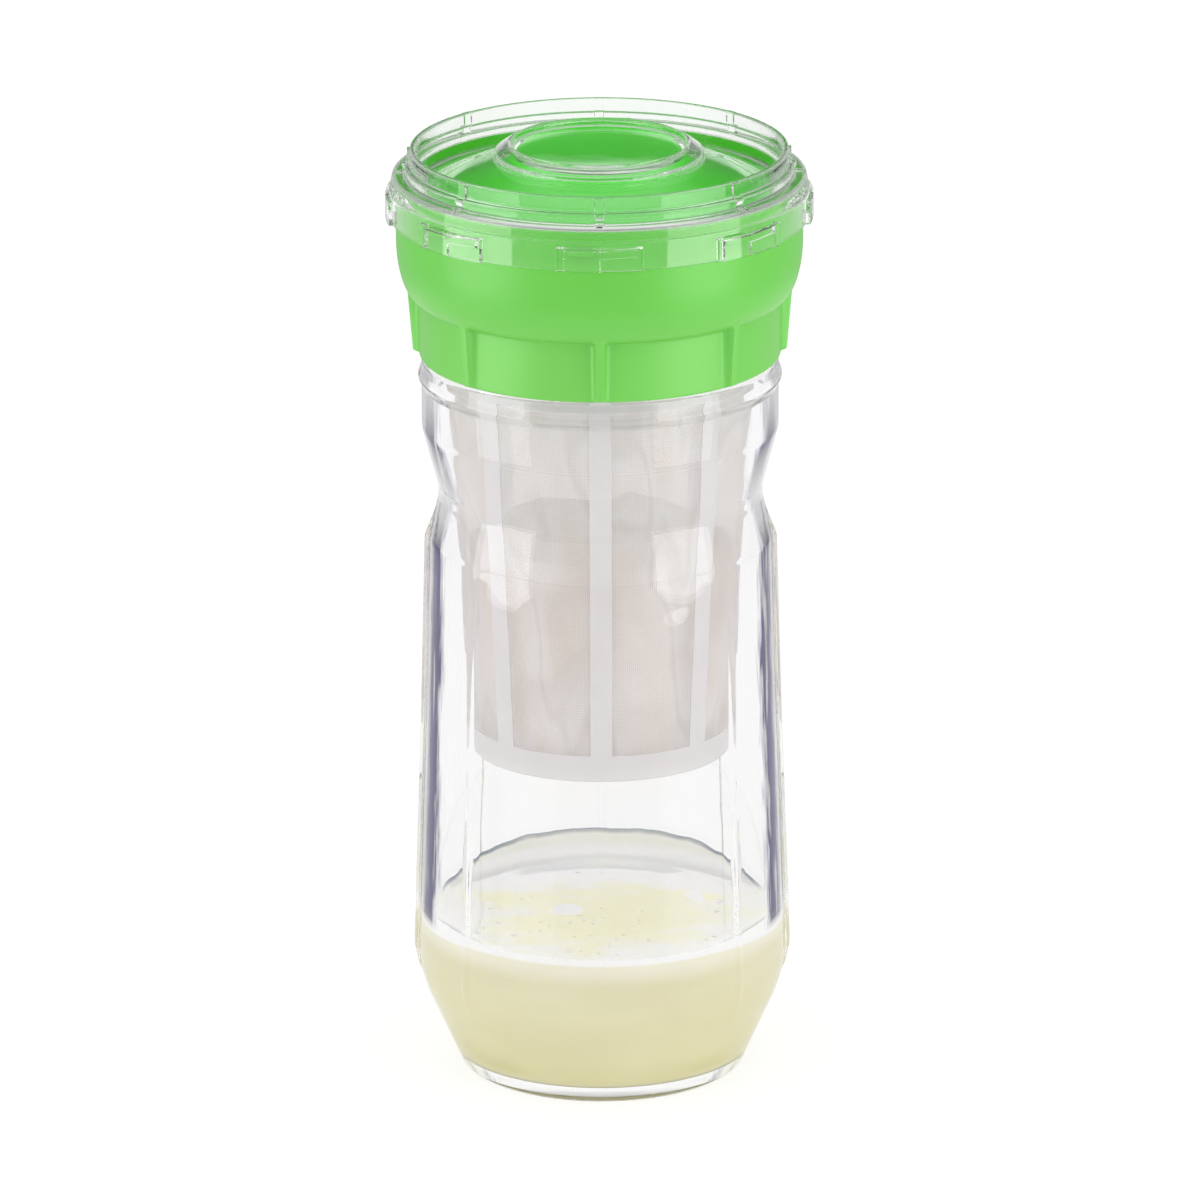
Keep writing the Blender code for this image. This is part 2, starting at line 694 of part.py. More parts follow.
def make_cover(plastic):
    """Cone with a flat disc in the middle and a rim that stands on the ring's ledge."""
    rim_low = LEDGE_Z + SEAT_GAP
    disc_z = disc_height()
    inner_rim = CONE_RADIUS - COVER_RIM_WIDTH / 2
    profile = [
        (0.0, disc_z),
        (COVER_DISC_RADIUS - COVER_DISC_RISE, disc_z),
        (COVER_DISC_RADIUS, disc_z - COVER_DISC_RISE),
        (CONE_RADIUS, cone_height(CONE_RADIUS)),
        (COVER_RADIUS, cone_height(CONE_RADIUS)),
        (COVER_RADIUS, rim_low),
        (CONE_RADIUS, rim_low),
        (inner_rim, cone_height(inner_rim) - COVER_WALL),
        (COVER_DISC_RADIUS, cone_height(COVER_DISC_RADIUS) - COVER_WALL),
        (0.0, disc_z - COVER_WALL),
    ]
    return turned("inner_cover", profile, PARTS, plastic)


def lid_profile():
    """Cup, cone, raised ring, flange and skirt over the top, and back along the underside."""
    corner = LID_CORNER
    ring_bore = LID_RING_RADIUS - LID_RING_WALL
    under = LID_CONE_GAP
    over = LID_CONE_GAP + LID_WALL
    window = disc_height() + SEAT_GAP + LID_WALL
    cup_top = window + LID_CUP_DEPTH
    cup_shoulder = cup_top - LID_CUP_SLOPE_HEIGHT
    cup_base = cone_height(LID_CUP_RADIUS) + over
    rim_bore = LID_CUP_RIM_RADIUS - LID_CUP_RIM_WIDTH
    ring_top = LID_TOP_Z + LID_RING_HEIGHT
    step_z = LID_TOP_Z - LID_STEP_DROP
    skirt_low = LID_UNDERSIDE_Z - LID_SKIRT_HEIGHT + LID_WALL
    ring_foot = cone_height(LID_RING_RADIUS) + under + corner
    cup_bore = LID_CUP_RADIUS - LID_WALL
    top = [
        (0.0, window),
        (rim_bore - corner, window),
        (rim_bore, window + corner / 2),
        (rim_bore, cup_top),
        (LID_CUP_RIM_RADIUS, cup_top),
        (LID_CUP_RADIUS - corner / 2, cup_shoulder),
        (LID_CUP_RADIUS, cup_base + corner / 2),
        (LID_CUP_RADIUS + corner, cup_base - corner * COVER_SLOPE),
        (ring_bore - corner, cone_height(ring_bore) + over),
        (ring_bore, cone_height(ring_bore) + over + corner),
        (ring_bore, ring_top - corner / 2),
        (ring_bore + corner / 2, ring_top),
        (LID_RING_RADIUS - corner / 2, ring_top),
        (LID_RING_RADIUS, ring_top - corner / 2),
        (LID_RING_RADIUS, LID_TOP_Z + corner / 2),
        (LID_RING_RADIUS + corner / 2, LID_TOP_Z),
        (SKIRT_RADIUS - corner, LID_TOP_Z),
        (SKIRT_RADIUS - LID_SKIRT_STEP, LID_TOP_Z - corner),
        (SKIRT_RADIUS - LID_SKIRT_STEP, step_z),
        (SKIRT_RADIUS, step_z - LID_SKIRT_STEP),
        (SKIRT_RADIUS, skirt_low),
    ]
    underside = [
        (SKIRT_BORE, skirt_low),
        (SKIRT_BORE, LID_UNDERSIDE_Z),
        (LID_RING_RADIUS, LID_UNDERSIDE_Z),
        (LID_RING_RADIUS, ring_foot),
        (LID_RING_RADIUS - corner, cone_height(LID_RING_RADIUS - corner) + under),
        (LID_CUP_RADIUS, cone_height(LID_CUP_RADIUS) + under),
        (cup_bore, cone_height(cup_bore) + under),
        (cup_bore, cup_shoulder - LID_WALL),
        (rim_bore, cup_top - LID_WALL - corner),
        (rim_bore - LID_WALL, window - LID_WALL),
        (0.0, window - LID_WALL),
    ]
    return top + underside


def make_lid(clear_plastic):
    lid = turned("clear_lid", lid_profile(), PARTS, clear_plastic)
    join_shape(lid, "lid_buttresses", lid_buttresses())
    skirt_low = LID_UNDERSIDE_Z - LID_SKIRT_HEIGHT + LID_WALL
    middle = (SKIRT_BORE + SKIRT_RADIUS) / 2
    boss = arc_mesh(
        "lid_bosses",
        middle,
        BOSS_RADIUS,
        skirt_low + BOSS_LIFT,
        skirt_low + BOSS_HEIGHT,
        -BOSS_HALF_ANGLE,
        BOSS_HALF_ANGLE,
    )
    join_shape(lid, "lid_bosses", round_pattern(boss, all_sides()))
    floor = LUG_Z - LUG_HEIGHT - SLOT_FLOOR_GAP
    bore = SKIRT_BORE - LID_SKIRT_WALL
    entry = arc_mesh(
        "slot_entries",
        bore,
        SLOT_RADIUS,
        skirt_low - LID_WALL,
        floor + SLOT_HEIGHT,
        SLOT_ENTRY_START,
        SLOT_ENTRY_END,
    )
    leg = arc_mesh(
        "slot_legs",
        bore,
        SLOT_RADIUS,
        floor,
        floor + SLOT_HEIGHT,
        SLOT_ENTRY_END - SLOT_OVERLAP,
        SLOT_END,
        rise=SLOT_RAMP,
    )
    cut_shape(lid, "slot_entries", round_pattern(entry, all_sides()))
    cut_shape(lid, "slot_legs", round_pattern(leg, all_sides()))
    return lid


def lid_buttresses():
    """Thin ribs that run down the raised ring and across the flange."""
    proud = LID_BUTTRESS_PROUD
    root = LID_RING_RADIUS - LID_RING_WALL / 2
    foot = (LID_UNDERSIDE_Z + LID_TOP_Z) / 2
    head = LID_TOP_Z + LID_RING_HEIGHT - LID_CORNER
    end = SKIRT_RADIUS - LID_CORNER
    outline = [
        (root, head),
        (LID_RING_RADIUS + proud / 2, head),
        (LID_RING_RADIUS + proud, LID_TOP_Z + 2 * proud),
        (LID_RING_RADIUS + 3 * proud, LID_TOP_Z + proud),
        (end - proud, LID_TOP_Z + proud / 2),
        (end, foot),
        (root, foot),
    ]
    buttress = plate_mesh("lid_buttresses", outline, LID_BUTTRESS_WIDTH)
    return round_pattern(buttress, all_sides())


clear_scene()
PARTS = new_collection("kefir_cheese_maker")
CUTTERS = new_collection("construction_shapes")

glass = new_material("jar_glass", (0.93, 0.95, 0.96), 0.03, transmission=1.0, ior=1.52)
clear_plastic = new_material("lid_clear", (0.96, 0.97, 0.96), 0.05, transmission=1.0, ior=1.49)
green_plastic = new_material("collar_green", (0.19, 0.66, 0.10), 0.32)
cover_plastic = new_material("cover_green", (0.13, 0.58, 0.06), 0.35)
milky_plastic = new_material("basket_milky", (0.80, 0.79, 0.77), 0.40, transmission=0.3)
nylon = new_material("mesh_nylon", (0.83, 0.83, 0.80), 0.60)
silicone = new_material("gasket_silicone", (0.85, 0.86, 0.84), 0.55)
liquid = new_material("whey_liquid", (0.80, 0.77, 0.42), 0.10)
cheese = new_material("kefir_curd", (0.83, 0.79, 0.72), 0.60)

make_jar(glass)
make_whey(liquid)
make_gasket(silicone)
make_collar(green_plastic)
make_basket_frame(milky_plastic)
make_mesh_sleeve(nylon)
make_mesh_floor(nylon)
make_curd(cheese)
make_cover(cover_plastic)
make_lid(clear_plastic)

lid_travel = SLOT_END - LUG_TURN - LUG_WIDTH / 2 / BOWL_RADIUS
print("lid travel on its bayonet, degrees:", round(math.degrees(lid_travel), 2))
print("top of the object, mm:", round(1000 * (LID_TOP_Z + LID_RING_HEIGHT), 2))
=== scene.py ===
import math
import random

import bmesh
import bpy
from mathutils import Matrix, Vector, noise


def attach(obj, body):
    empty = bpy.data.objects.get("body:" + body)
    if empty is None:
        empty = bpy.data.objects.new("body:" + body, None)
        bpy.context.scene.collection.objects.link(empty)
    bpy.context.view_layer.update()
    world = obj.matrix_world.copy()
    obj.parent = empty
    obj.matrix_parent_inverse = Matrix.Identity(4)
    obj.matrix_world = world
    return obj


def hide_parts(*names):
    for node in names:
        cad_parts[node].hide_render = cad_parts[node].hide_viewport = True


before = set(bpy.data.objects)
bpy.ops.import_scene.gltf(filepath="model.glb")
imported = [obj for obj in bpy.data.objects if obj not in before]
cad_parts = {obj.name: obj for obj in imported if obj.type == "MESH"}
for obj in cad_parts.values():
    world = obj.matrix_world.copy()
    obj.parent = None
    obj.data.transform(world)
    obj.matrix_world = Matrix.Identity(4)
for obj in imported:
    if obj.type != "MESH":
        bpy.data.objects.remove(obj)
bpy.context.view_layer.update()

# Kefir cheese maker, dressed round its CAD frame. Shapes are drawn in millimetres and scaled
# to metres when a piece is finished. The front of the jar faces -Y.

sides = 8  # ribs, bosses, lugs and windows repeat every 45 degrees
sideAngle = 360 / sides
frontSide = 6  # the side that faces -Y, counted from +X
millimetre = 0.001
bendStep = 14  # degrees that each segment of a rounded corner turns
weldGap = 0.002
scene = bpy.context.scene


# ---- modelling helpers


# radius, angle in degrees and height of a point
def polar(spot):
    return math.hypot(spot.x, spot.y), math.degrees(math.atan2(spot.y, spot.x)), spot.z


# angle from the nearest of the eight sides, and which side that is
def fromSide(angle):
    side = round(angle / sideAngle)
    return angle - side * sideAngle, side % sides


# angle from the front of the jar
def fromFront(angle):
    return (angle + 90 + 180) % 360 - 180


def smoothStep(low, high, value):
    share = min(1.0, max(0.0, (value - low) / (high - low)))
    return share * share * (3 - 2 * share)


def roundOff(shape, parts, offset, segments, affect):
    bmesh.ops.bevel(
        shape,
        geom=parts,
        offset=offset,
        offset_type="OFFSET",
        segments=segments,
        profile=0.5,
        affect=affect,
        material=-1,
    )


# wire profile of (radius, height) corners, each with its own rounding radius
def drawProfile(corners, closed=True):
    shape = bmesh.new()
    points = [Vector((corner[0], 0.0, corner[1])) for corner in corners]
    verts = [shape.verts.new(point) for point in points]
    for start, end in zip(verts, verts[1:]):
        shape.edges.new((start, end))
    if closed:
        shape.edges.new((verts[-1], verts[0]))
    for index, corner in enumerate(corners):
        if len(corner) < 3 or not corner[2]:
            continue
        back = (points[index - 1] - points[index]).normalized()
        ahead = (points[(index + 1) % len(points)] - points[index]).normalized()
        opening = back.angle(ahead)
        segments = max(2, round(math.degrees(math.pi - opening) / bendStep))
        roundOff(shape, [verts[index]], corner[2] / math.tan(opening / 2), segments, "VERTICES")
    return shape


# more rows along the profile between two heights, outside a radius
def addRows(shape, low, high, spacing, beyond=0.0):
    for edge in list(shape.edges):
        heights = [vert.co.z for vert in edge.verts]
        inSpan = max(heights) > low and min(heights) < high
        cuts = int(edge.calc_length() / spacing)
        if cuts and inSpan and min(vert.co.x for vert in edge.verts) >= beyond:
            bmesh.ops.subdivide_edges(shape, edges=[edge], cuts=cuts)


# sweeps a profile round the middle and returns where it ends
def spinOn(shape, strip, angle, steps=1):
    spun = bmesh.ops.spin(
        shape,
        geom=strip,
        cent=(0, 0, 0),
        axis=(0, 0, 1),
        dvec=(0, 0, 0),
        angle=angle,
        steps=steps,
        use_duplicate=False,
    )
    return spun["geom_last"]


# full turn of the profile, with the same uneven columns in each of the eight sides
def spinSides(shape, columns):
    angles = [sideAngle * side + column for side in range(sides) for column in columns]
    start = Matrix.Rotation(math.radians(angles[0]), 3, "Z")
    bmesh.ops.rotate(shape, cent=(0, 0, 0), matrix=start, verts=shape.verts)
    strip = list(shape.verts) + list(shape.edges)
    for here, there in zip(angles, angles[1:] + [angles[0] + 360]):
        strip = spinOn(shape, strip, math.radians(there - here))
    bmesh.ops.remove_doubles(shape, verts=shape.verts, dist=weldGap)
    bmesh.ops.recalc_face_normals(shape, faces=shape.faces)


# columns of one side: close together near the middle, then evenly on to the next side
def sideColumns(near, evenSteps):
    last = near[-1]
    gap = (sideAngle + near[0] - last) / (evenSteps + 1)
    return list(near) + [last + gap * (step + 1) for step in range(evenSteps)]


# the same steps to both sides of the middle
def mirrored(steps):
    return [-step for step in steps[::-1]] + [0.0] + steps


# moves every point by a rule on its radius, angle in degrees and height
def reshape(shape, rule):
    for vert in shape.verts:
        radius, angle, height = polar(vert.co)
        if radius >= 0.01:
            radius, angle, height = rule(radius, angle, height)
            turn = math.radians(angle)
            vert.co = (radius * math.cos(turn), radius * math.sin(turn), height)


# radius of an outline of (radius, height) corners at a height
def outlineRadius(outline, height):
    for first, second in zip(outline, outline[1:]):
        low, high = sorted((first[1], second[1]))
        if low <= height <= high and high > low:
            share = (height - first[1]) / (second[1] - first[1])
            return first[0] + share * (second[0] - first[0])
    return outline[-1][0]


screw = {"pitch": 5.0, "crestHalf": 0.35, "footHalf": 1.2, "fade": 0.06}  # fade in turns


# height of a single-start thread's crest against a point of the wall
def threadHeight(thread, angle, height):
    best = 0.0
    for lap in range(4):
        turns = (angle + 180) / 360 + lap - 1
        if 0 <= turns <= thread["turns"]:
            away = abs(height - thread["start"] - screw["pitch"] * turns)
            ends = min(turns, thread["turns"] - turns)
            crest = 1 - smoothStep(screw["crestHalf"], screw["footHalf"], away)
            best = max(best, crest * smoothStep(0.0, screw["fade"], ends))
    return best * thread["height"]


def addBlock(shape, size, middle):
    made = bmesh.ops.create_cube(shape, size=1.0)["verts"]
    bmesh.ops.scale(shape, vec=size, verts=made)
    bmesh.ops.translate(shape, vec=middle, verts=made)
    return made


# adds a second closed shape to the first, both in millimetres
def joinShape(shape, other):
    mesh = bpy.data.meshes.new("joined")
    other.to_mesh(mesh)
    other.free()
    shape.from_mesh(mesh)
    bpy.data.meshes.remove(mesh)


def addObject(shape, name, material):
    mesh = bpy.data.meshes.new(name)
    shape.to_mesh(mesh)
    shape.free()
    mesh.materials.append(material)
    made = bpy.data.objects.new(name, mesh)
    scene.collection.objects.link(made)
    return made


# a piece stands for a node of the solids, whose part it hides, or for none
def addPiece(shape, name, body, material, node=None, slot=None, sharp=38):
    bmesh.ops.scale(shape, vec=(millimetre,) * 3, verts=shape.verts)
    for face in shape.faces:
        face.smooth = True
    piece = addObject(shape, name, material)
    piece.data.set_sharp_from_angle(angle=math.radians(sharp))
    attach(piece, body)
    if node:
        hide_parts(node)
    print("made", name, "with", len(piece.data.polygons), "faces")


# ---- material helpers


# links a source to a socket, or sets the socket's value where the source is a plain one
def feed(material, source, socket):
    if isinstance(source, bpy.types.NodeSocket):
        material.node_tree.links.new(source, socket)
    elif socket.type == "RGBA":
        socket.default_value = (*source, 1.0)
    else:
        socket.default_value = source


# settings are the node's own, or else sources for its inputs
def addNode(material, kind, **settings):
    node = material.node_tree.nodes.new("ShaderNode" + kind)
    for key, value in settings.items():
        if hasattr(node, key):
            setattr(node, key, value)
        else:
            feed(material, value, node.inputs[key.replace("_", " ")])
    return node


# feeds inputs that are known by their places only
def feedPlaces(material, node, places, sources):
    for place, source in zip(places, sources):
        feed(material, source, node.inputs[place])
    return node.outputs


def principled(material):
    return material.node_tree.nodes["Principled BSDF"]


# feeds the Principled shader's sockets
def dress(material, **sources):
    for key, source in sources.items():
        feed(material, source, principled(material).inputs[key.replace("_", " ")])


def newMaterial(name, **values):
    material = bpy.data.materials.new(name)
    material.use_nodes = True
    dress(material, **values)
    return material


def addMath(material, operation, *sources):
    node = addNode(material, "Math", operation=operation)
    return feedPlaces(material, node, range(3), sources)["Value"]


# a mix of two numbers
def addBlend(material, *sources):
    node = addNode(material, "Mix", data_type="FLOAT")
    return feedPlaces(material, node, (0, 2, 3), sources)[0]


# a mix of two colours
def addTint(material, *sources, kind="MIX"):
    node = addNode(material, "Mix", data_type="RGBA", blend_type=kind)
    return feedPlaces(material, node, (0, 6, 7), sources)[2]


# takes the source from the span between two values to a new one
def addSpan(material, source, low, high, fromLow=0.0, fromHigh=1.0, kind="LINEAR"):
    ends = {"From_Min": fromLow, "From_Max": fromHigh, "To_Min": low, "To_Max": high}
    node = addNode(material, "MapRange", interpolation_type=kind, Value=source, **ends)
    return node.outputs["Result"]


# noise on Object coordinates, about this many blotches to a metre
def addNoise(material, scale, detail=3.0, stretch=(1, 1, 1), distortion=0.0):
    place = addNode(material, "TexCoord").outputs["Object"]
    spot = addNode(material, "Mapping", Vector=place, Scale=stretch).outputs["Vector"]
    grain = {"Scale": scale, "Detail": detail, "Distortion": distortion}
    return addNode(material, "TexNoise", Vector=spot, **grain).outputs["Fac"]


# stops are (position, colour) or (position, grey)
def addRamp(material, source, *stops):
    ramp = addNode(material, "ValToRGB", Fac=source)
    while len(ramp.color_ramp.elements) < len(stops):
        ramp.color_ramp.elements.new(0.5)
    for element, (position, colour) in zip(ramp.color_ramp.elements, stops):
        element.position = position
        element.color = (*colour, 1.0) if isinstance(colour, tuple) else (colour,) * 3 + (1.0,)
    return ramp.outputs["Color"]


# drifts between two tones, as a noise does between the two values of span
def addDrift(material, low, high, scale, span=(0.3, 0.7), **grain):
    clouds = addNoise(material, scale, **grain)
    return addRamp(material, clouds, (span[0], low), (span[1], high))


def addBump(material, source, strength, distance):
    bump = addNode(material, "Bump", Strength=strength, Distance=distance, Height=source)
    dress(material, Normal=bump.outputs["Normal"])


# puts a mix of two shaders on the output
def mixShaders(material, *sources, output="Material Output"):
    blend = feedPlaces(material, addNode(material, "MixShader"), range(3), sources)
    feed(material, blend["Shader"], material.node_tree.nodes[output].inputs["Surface"])


def mixWithClear(material, share, tint=1.0):
    clear = addNode(material, "BsdfTransparent", Color=(tint,) * 3).outputs["BSDF"]
    mixShaders(material, share, principled(material).outputs["BSDF"], clear)


# lamps and diffuse light pass straight through, so that what the glass holds stays lit
def letLampsThrough(material, tint):
    rays = addNode(material, "LightPath").outputs
    passing = addMath(material, "MAXIMUM", rays["Is Shadow Ray"], rays["Is Diffuse Ray"])
    mixWithClear(material, passing, tint)


# 1 for camera, mirror and glass rays, which see the white surroundings as white
def seenRays(owner):
    rays = addNode(owner, "LightPath").outputs
    seen = addMath(owner, "MAXIMUM", rays["Is Camera Ray"], rays["Is Glossy Ray"])
    return addMath(owner, "MAXIMUM", seen, rays["Is Transmission Ray"])


# ---- materials


# painted shade: the wall's colour darkens into a band where it is seen aslant, lighter again at the
# very rim, as far as the piece's edgeShade allows; noise swells and streaks the band
def makeGlass():
    # painted shade colours: clear glass, a half shade, a full dark shade, and a paler rim shade
    clear, shadeHalf = (0.983, 0.981, 0.988), (0.42, 0.43, 0.53)
    shadeFull, rim = (0.002, 0.001, 0.022), (0.40, 0.39, 0.50)
    stops = ((0.0, clear), (0.590, clear), (0.620, shadeHalf), (0.66, shadeFull), (0.79, shadeFull), (0.88, rim))
    streak, swell, waves = 0.07, 0.05, {"scale": 60.0, "strength": 0.08, "distance": 0.002}
    glass = newMaterial("jarGlass", Transmission_Weight=1.0, IOR=1.5, Roughness=0.0)
    facing = addNode(glass, "LayerWeight", Blend=0.5).outputs["Facing"]
    fine = addNoise(glass, 900.0, detail=4.0, stretch=(1, 1, 0.12))
    wide = addNoise(glass, 55.0, detail=2.0, stretch=(0.5, 0.5, 1))
    aslant = addMath(glass, "ADD", facing, addSpan(glass, wide, -swell, swell))
    aslant = addMath(glass, "ADD", aslant, addSpan(glass, fine, -streak, streak))
    shade = addNode(glass, "Attribute", attribute_name="edgeShade").outputs["Fac"]
    strokes = addDrift(glass, 0.65, 1.0, 340.0, (0.32, 0.42), detail=4.0, stretch=(1, 1, 0.09))
    patchy = addMath(glass, "MULTIPLY", shade, strokes)
    dress(glass, Base_Color=addTint(glass, patchy, clear, addRamp(glass, aslant, *stops)))
    ripples = addNoise(glass, waves["scale"], detail=1.0)
    addBump(glass, ripples, waves["strength"], waves["distance"])
    letLampsThrough(glass, 0.99)
    return glass


def makeLidPlastic():
    clear, edge = (0.998, 0.998, 0.998), (0.72, 0.74, 0.72)
    plastic = newMaterial("lidPlastic", Transmission_Weight=1.0, IOR=1.56)
    facing = addNode(plastic, "LayerWeight", Blend=0.5).outputs["Facing"]
    matt = addNode(plastic, "Attribute", attribute_name="softEdge").outputs["Fac"]
    # painted shade: the plastic's colour greys towards the edge tint where it is seen edge-on
    tint = addRamp(plastic, facing, (0.0, clear), (0.86, clear), (0.97, edge))
    dress(plastic, Base_Color=tint, Roughness=matt)
    addBump(plastic, addNoise(plastic, 110.0, detail=1.0), 0.03, 0.001)
    letLampsThrough(plastic, 0.995)
    return plastic


# light that spreads a little under the surface
def spread(weight, radius, scale=0.002):
    parts = {"Weight": weight, "Radius": radius, "Scale": scale}
    return {"Subsurface_" + key: value for key, value in parts.items()}


# tones are (height in mm, colour), from low to high
def makeGreen(name, tones, roughness, gloss):
    low, high = 170, 230
    green = newMaterial(name, Specular_IOR_Level=gloss, **spread(0.15, (0.6, 1.0, 0.3)))
    place = addNode(green, "TexCoord").outputs["Object"]
    height = addNode(green, "SeparateXYZ", Vector=place).outputs["Z"]
    share = addSpan(green, height, 0.0, 1.0, low * millimetre, high * millimetre)
    tone = addRamp(green, share, *[((rise - low) / (high - low), colour) for rise, colour in tones])
    drift = addDrift(green, 0.94, 1.0, 28.0, detail=2.0)
    sheen = addDrift(green, roughness - 0.02, roughness + 0.03, 300.0)
    dress(green, Base_Color=addTint(green, 1.0, tone, drift, kind="MULTIPLY"), Roughness=sheen)
    addBump(green, addNoise(green, 140.0, detail=2.0), 0.04, 0.0004)
    return green


def makeMilky():
    milky = newMaterial("basketMilky", Roughness=0.40, **spread(0.3, (1.0, 1.0, 1.0)))
    tone = addDrift(milky, (0.86, 0.83, 0.83), (0.92, 0.885, 0.88), 45.0, detail=2.0)
    dress(milky, Base_Color=tone)
    addBump(milky, addNoise(milky, 260.0), 0.05, 0.0003)
    mixWithClear(milky, 0.22)
    return milky


# woven nylon: threads follow the sleeve's own UV map, one unit a millimetre
def makeMesh():
    weave = {"pitch": 0.5, "openShare": 0.58, "openSwing": 0.08, "threadShare": 0.03}
    plain, creaseShade, warm = (0.96, 0.93, 0.91), (0.86, 0.81, 0.775), (0.92, 0.855, 0.805)
    nylon = newMaterial("meshNylon", Roughness=0.35)
    uv = addNode(nylon, "UVMap", uv_map="weave").outputs["UV"]
    scale = math.pi / weave["pitch"] / 10
    waves = [
        addNode(nylon, "TexWave", bands_direction=along, Scale=scale, Vector=uv).outputs["Fac"]
        for along in ("X", "Y")
    ]
    threads = addMath(nylon, "MAXIMUM", *waves)
    rumple = addNoise(nylon, 55.0, detail=2.0, distortion=0.8)
    height = addMath(nylon, "MULTIPLY_ADD", threads, weave["threadShare"], rumple)
    addBump(nylon, height, 0.35, 0.003)
    # painted shade: thin darker lines along the folds, between warmer blotches
    folds = addNoise(nylon, 30.0, detail=1.5, stretch=(1, 1, 0.4), distortion=1.6)
    stops = ((0.36, warm), (0.44, plain), (0.468, creaseShade), (0.50, plain), (0.60, warm))
    dress(nylon, Base_Color=addRamp(nylon, folds, *stops))
    most, least = weave["openShare"] + weave["openSwing"], weave["openShare"] - weave["openSwing"]
    mixWithClear(nylon, addSpan(nylon, threads, most, least))
    return nylon


def makeCheese():
    cheese = newMaterial("kefirCurd", Roughness=0.45, **spread(0.3, (1.0, 0.8, 0.6)))
    # painted shade: where a noise falls, the curd darkens to the brown of shaded hollows; elsewhere
    # it keeps its own pale tone
    hollowShade, crest = (0.56, 0.42, 0.36), (0.98, 0.90, 0.86)
    dress(cheese, Base_Color=addDrift(cheese, hollowShade, crest, 65.0, (0.36, 0.60), distortion=0.6))
    addBump(cheese, addNoise(cheese, 900.0, detail=4.0), 0.4, 0.0004)
    return cheese


def makeWhey():
    glossy = {"Coat_Weight": 1.0, "Coat_Roughness": 0.02, "Coat_IOR": 1.6}
    depth = spread(0.4, (1.0, 0.9, 0.5), 0.003)
    liquid = newMaterial("wheyLiquid", Roughness=0.06, IOR=1.34, **glossy, **depth)
    zones = addNode(liquid, "Attribute", attribute_name="wheyTone").outputs["Color"]
    cloudy = (0.95, 0.94, 0.90)
    drift = addDrift(liquid, cloudy, 1.0, 30.0, stretch=(1, 1, 2.5), distortion=0.8)
    dress(liquid, Base_Color=addTint(liquid, 1.0, zones, drift, kind="MULTIPLY"))
    return liquid


def makeFroth():
    froth = newMaterial("wheyFroth", Roughness=0.2)
    dress(froth, Base_Color=addDrift(froth, (0.94, 0.94, 0.90), (0.99, 0.99, 0.98), 400.0))
    return froth


def makeSilicone():
    silicone = newMaterial("gasketSilicone", Roughness=0.55)
    dress(silicone, Base_Color=addDrift(silicone, (0.74, 0.75, 0.73), (0.82, 0.83, 0.81), 60.0))
    addBump(silicone, addNoise(silicone, 1500.0), 0.1, 0.0001)
    return silicone


# ---- glass jar

jar = {
    "rimHeight": 188.0,
    "neckRadius": 38.95,
    "neckBore": 36.65,
    "lipRound": 1.05,
    "stepHeight": 175.6,
    "floor": 4.0,
    "footRise": 1.2,  # of the middle of the base over the standing ring
    "skin": 1.6,  # a point this close to the outline belongs to the outer wall
    "ribCrest": 0.16,  # half of a rib's width there, and at its foot
    "ribFoot": 1.44,
    "ribProud": 1.3,  # of the two at the sides; the others are lower
    "ribLower": 0.5,
    "ribRadius": 41.0,
    "frontRibFade": (55.0, 80.0),
    "frontRibLoss": 0.9,
    "panelSpread": 3.0,  # the front panel is a little wider than the others
    "ribStart": (17.0, 31.0),
    "ribEnd": (130.0, 139.0),
    "thread": {"start": 177.8, "turns": 1.7, "height": 1.0},
}
jarOutside = [
    (jar["neckRadius"], jar["stepHeight"], 0.6),
    (42.0, jar["stepHeight"], 0.9),
    (42.0, 173.0, 1.2),
    (42.9, 171.0, 1.2),
    (42.0, 169.0, 1.2),
    (42.0, 158.5, 6.0),
    (38.28, 144.0, 6.0),
    (38.28, 141.0, 6.0),
    (40.35, 131.0, 4.0),
    (41.70, 84.0, 60.0),
    (43.90, 23.3, 20.0),
    (33.60, 0.0, 1.5),
    (29.60, 0.0, 0.8),
    (27.20, jar["footRise"], 2.5),
]
jarWall = jarOutside[1:12]  # from the step under the neck down to the standing ring
jarInside = [
    (31.00, jar["floor"], 4.0),
    (40.60, 23.3, 16.0),
    (38.40, 84.0, 60.0),
    (37.05, 131.0, 6.0),
    (34.98, 141.0, 6.0),
    (34.98, 144.0, 6.0),
    (38.10, 158.5, 6.0),
    (38.10, 169.0, 6.0),
    (jar["neckBore"], jar["stepHeight"], 4.0),
]


def ribGrowth(angle, height):
    away, side = fromSide(angle)
    if side == frontSide:
        return 0.0
    grown = 1.0 if side % 4 == 0 else jar["ribLower"]
    if side in (frontSide - 1, frontSide + 1):
        grown *= 1 - jar["frontRibLoss"] * smoothStep(*jar["frontRibFade"], height)
    grown *= smoothStep(*jar["ribStart"], height) * (1 - smoothStep(*jar["ribEnd"], height))
    offset = abs(math.radians(away)) * jar["ribRadius"]
    return grown * (1 - smoothStep(jar["ribCrest"], jar["ribFoot"], offset))


# widens the front panel: its two ribs stand a little farther round
def spreadPanel(angle):
    front = fromFront(angle)
    bend = smoothStep(0, sideAngle, abs(front))
    bend *= 1 - smoothStep(sideAngle, 2 * sideAngle, abs(front))
    return angle + math.copysign(jar["panelSpread"] * bend, front)


def jarRule(radius, angle, height):
    onWall = radius > outlineRadius(jarWall, height) - jar["skin"]
    if height <= jar["stepHeight"] - 1 and onWall:
        radius += jar["ribProud"] * ribGrowth(angle, height)
    elif height > jar["stepHeight"] + 0.6 and radius > jar["neckRadius"] - 0.5:
        radius += threadHeight(jar["thread"], angle, height)
    return radius, spreadPanel(angle), height
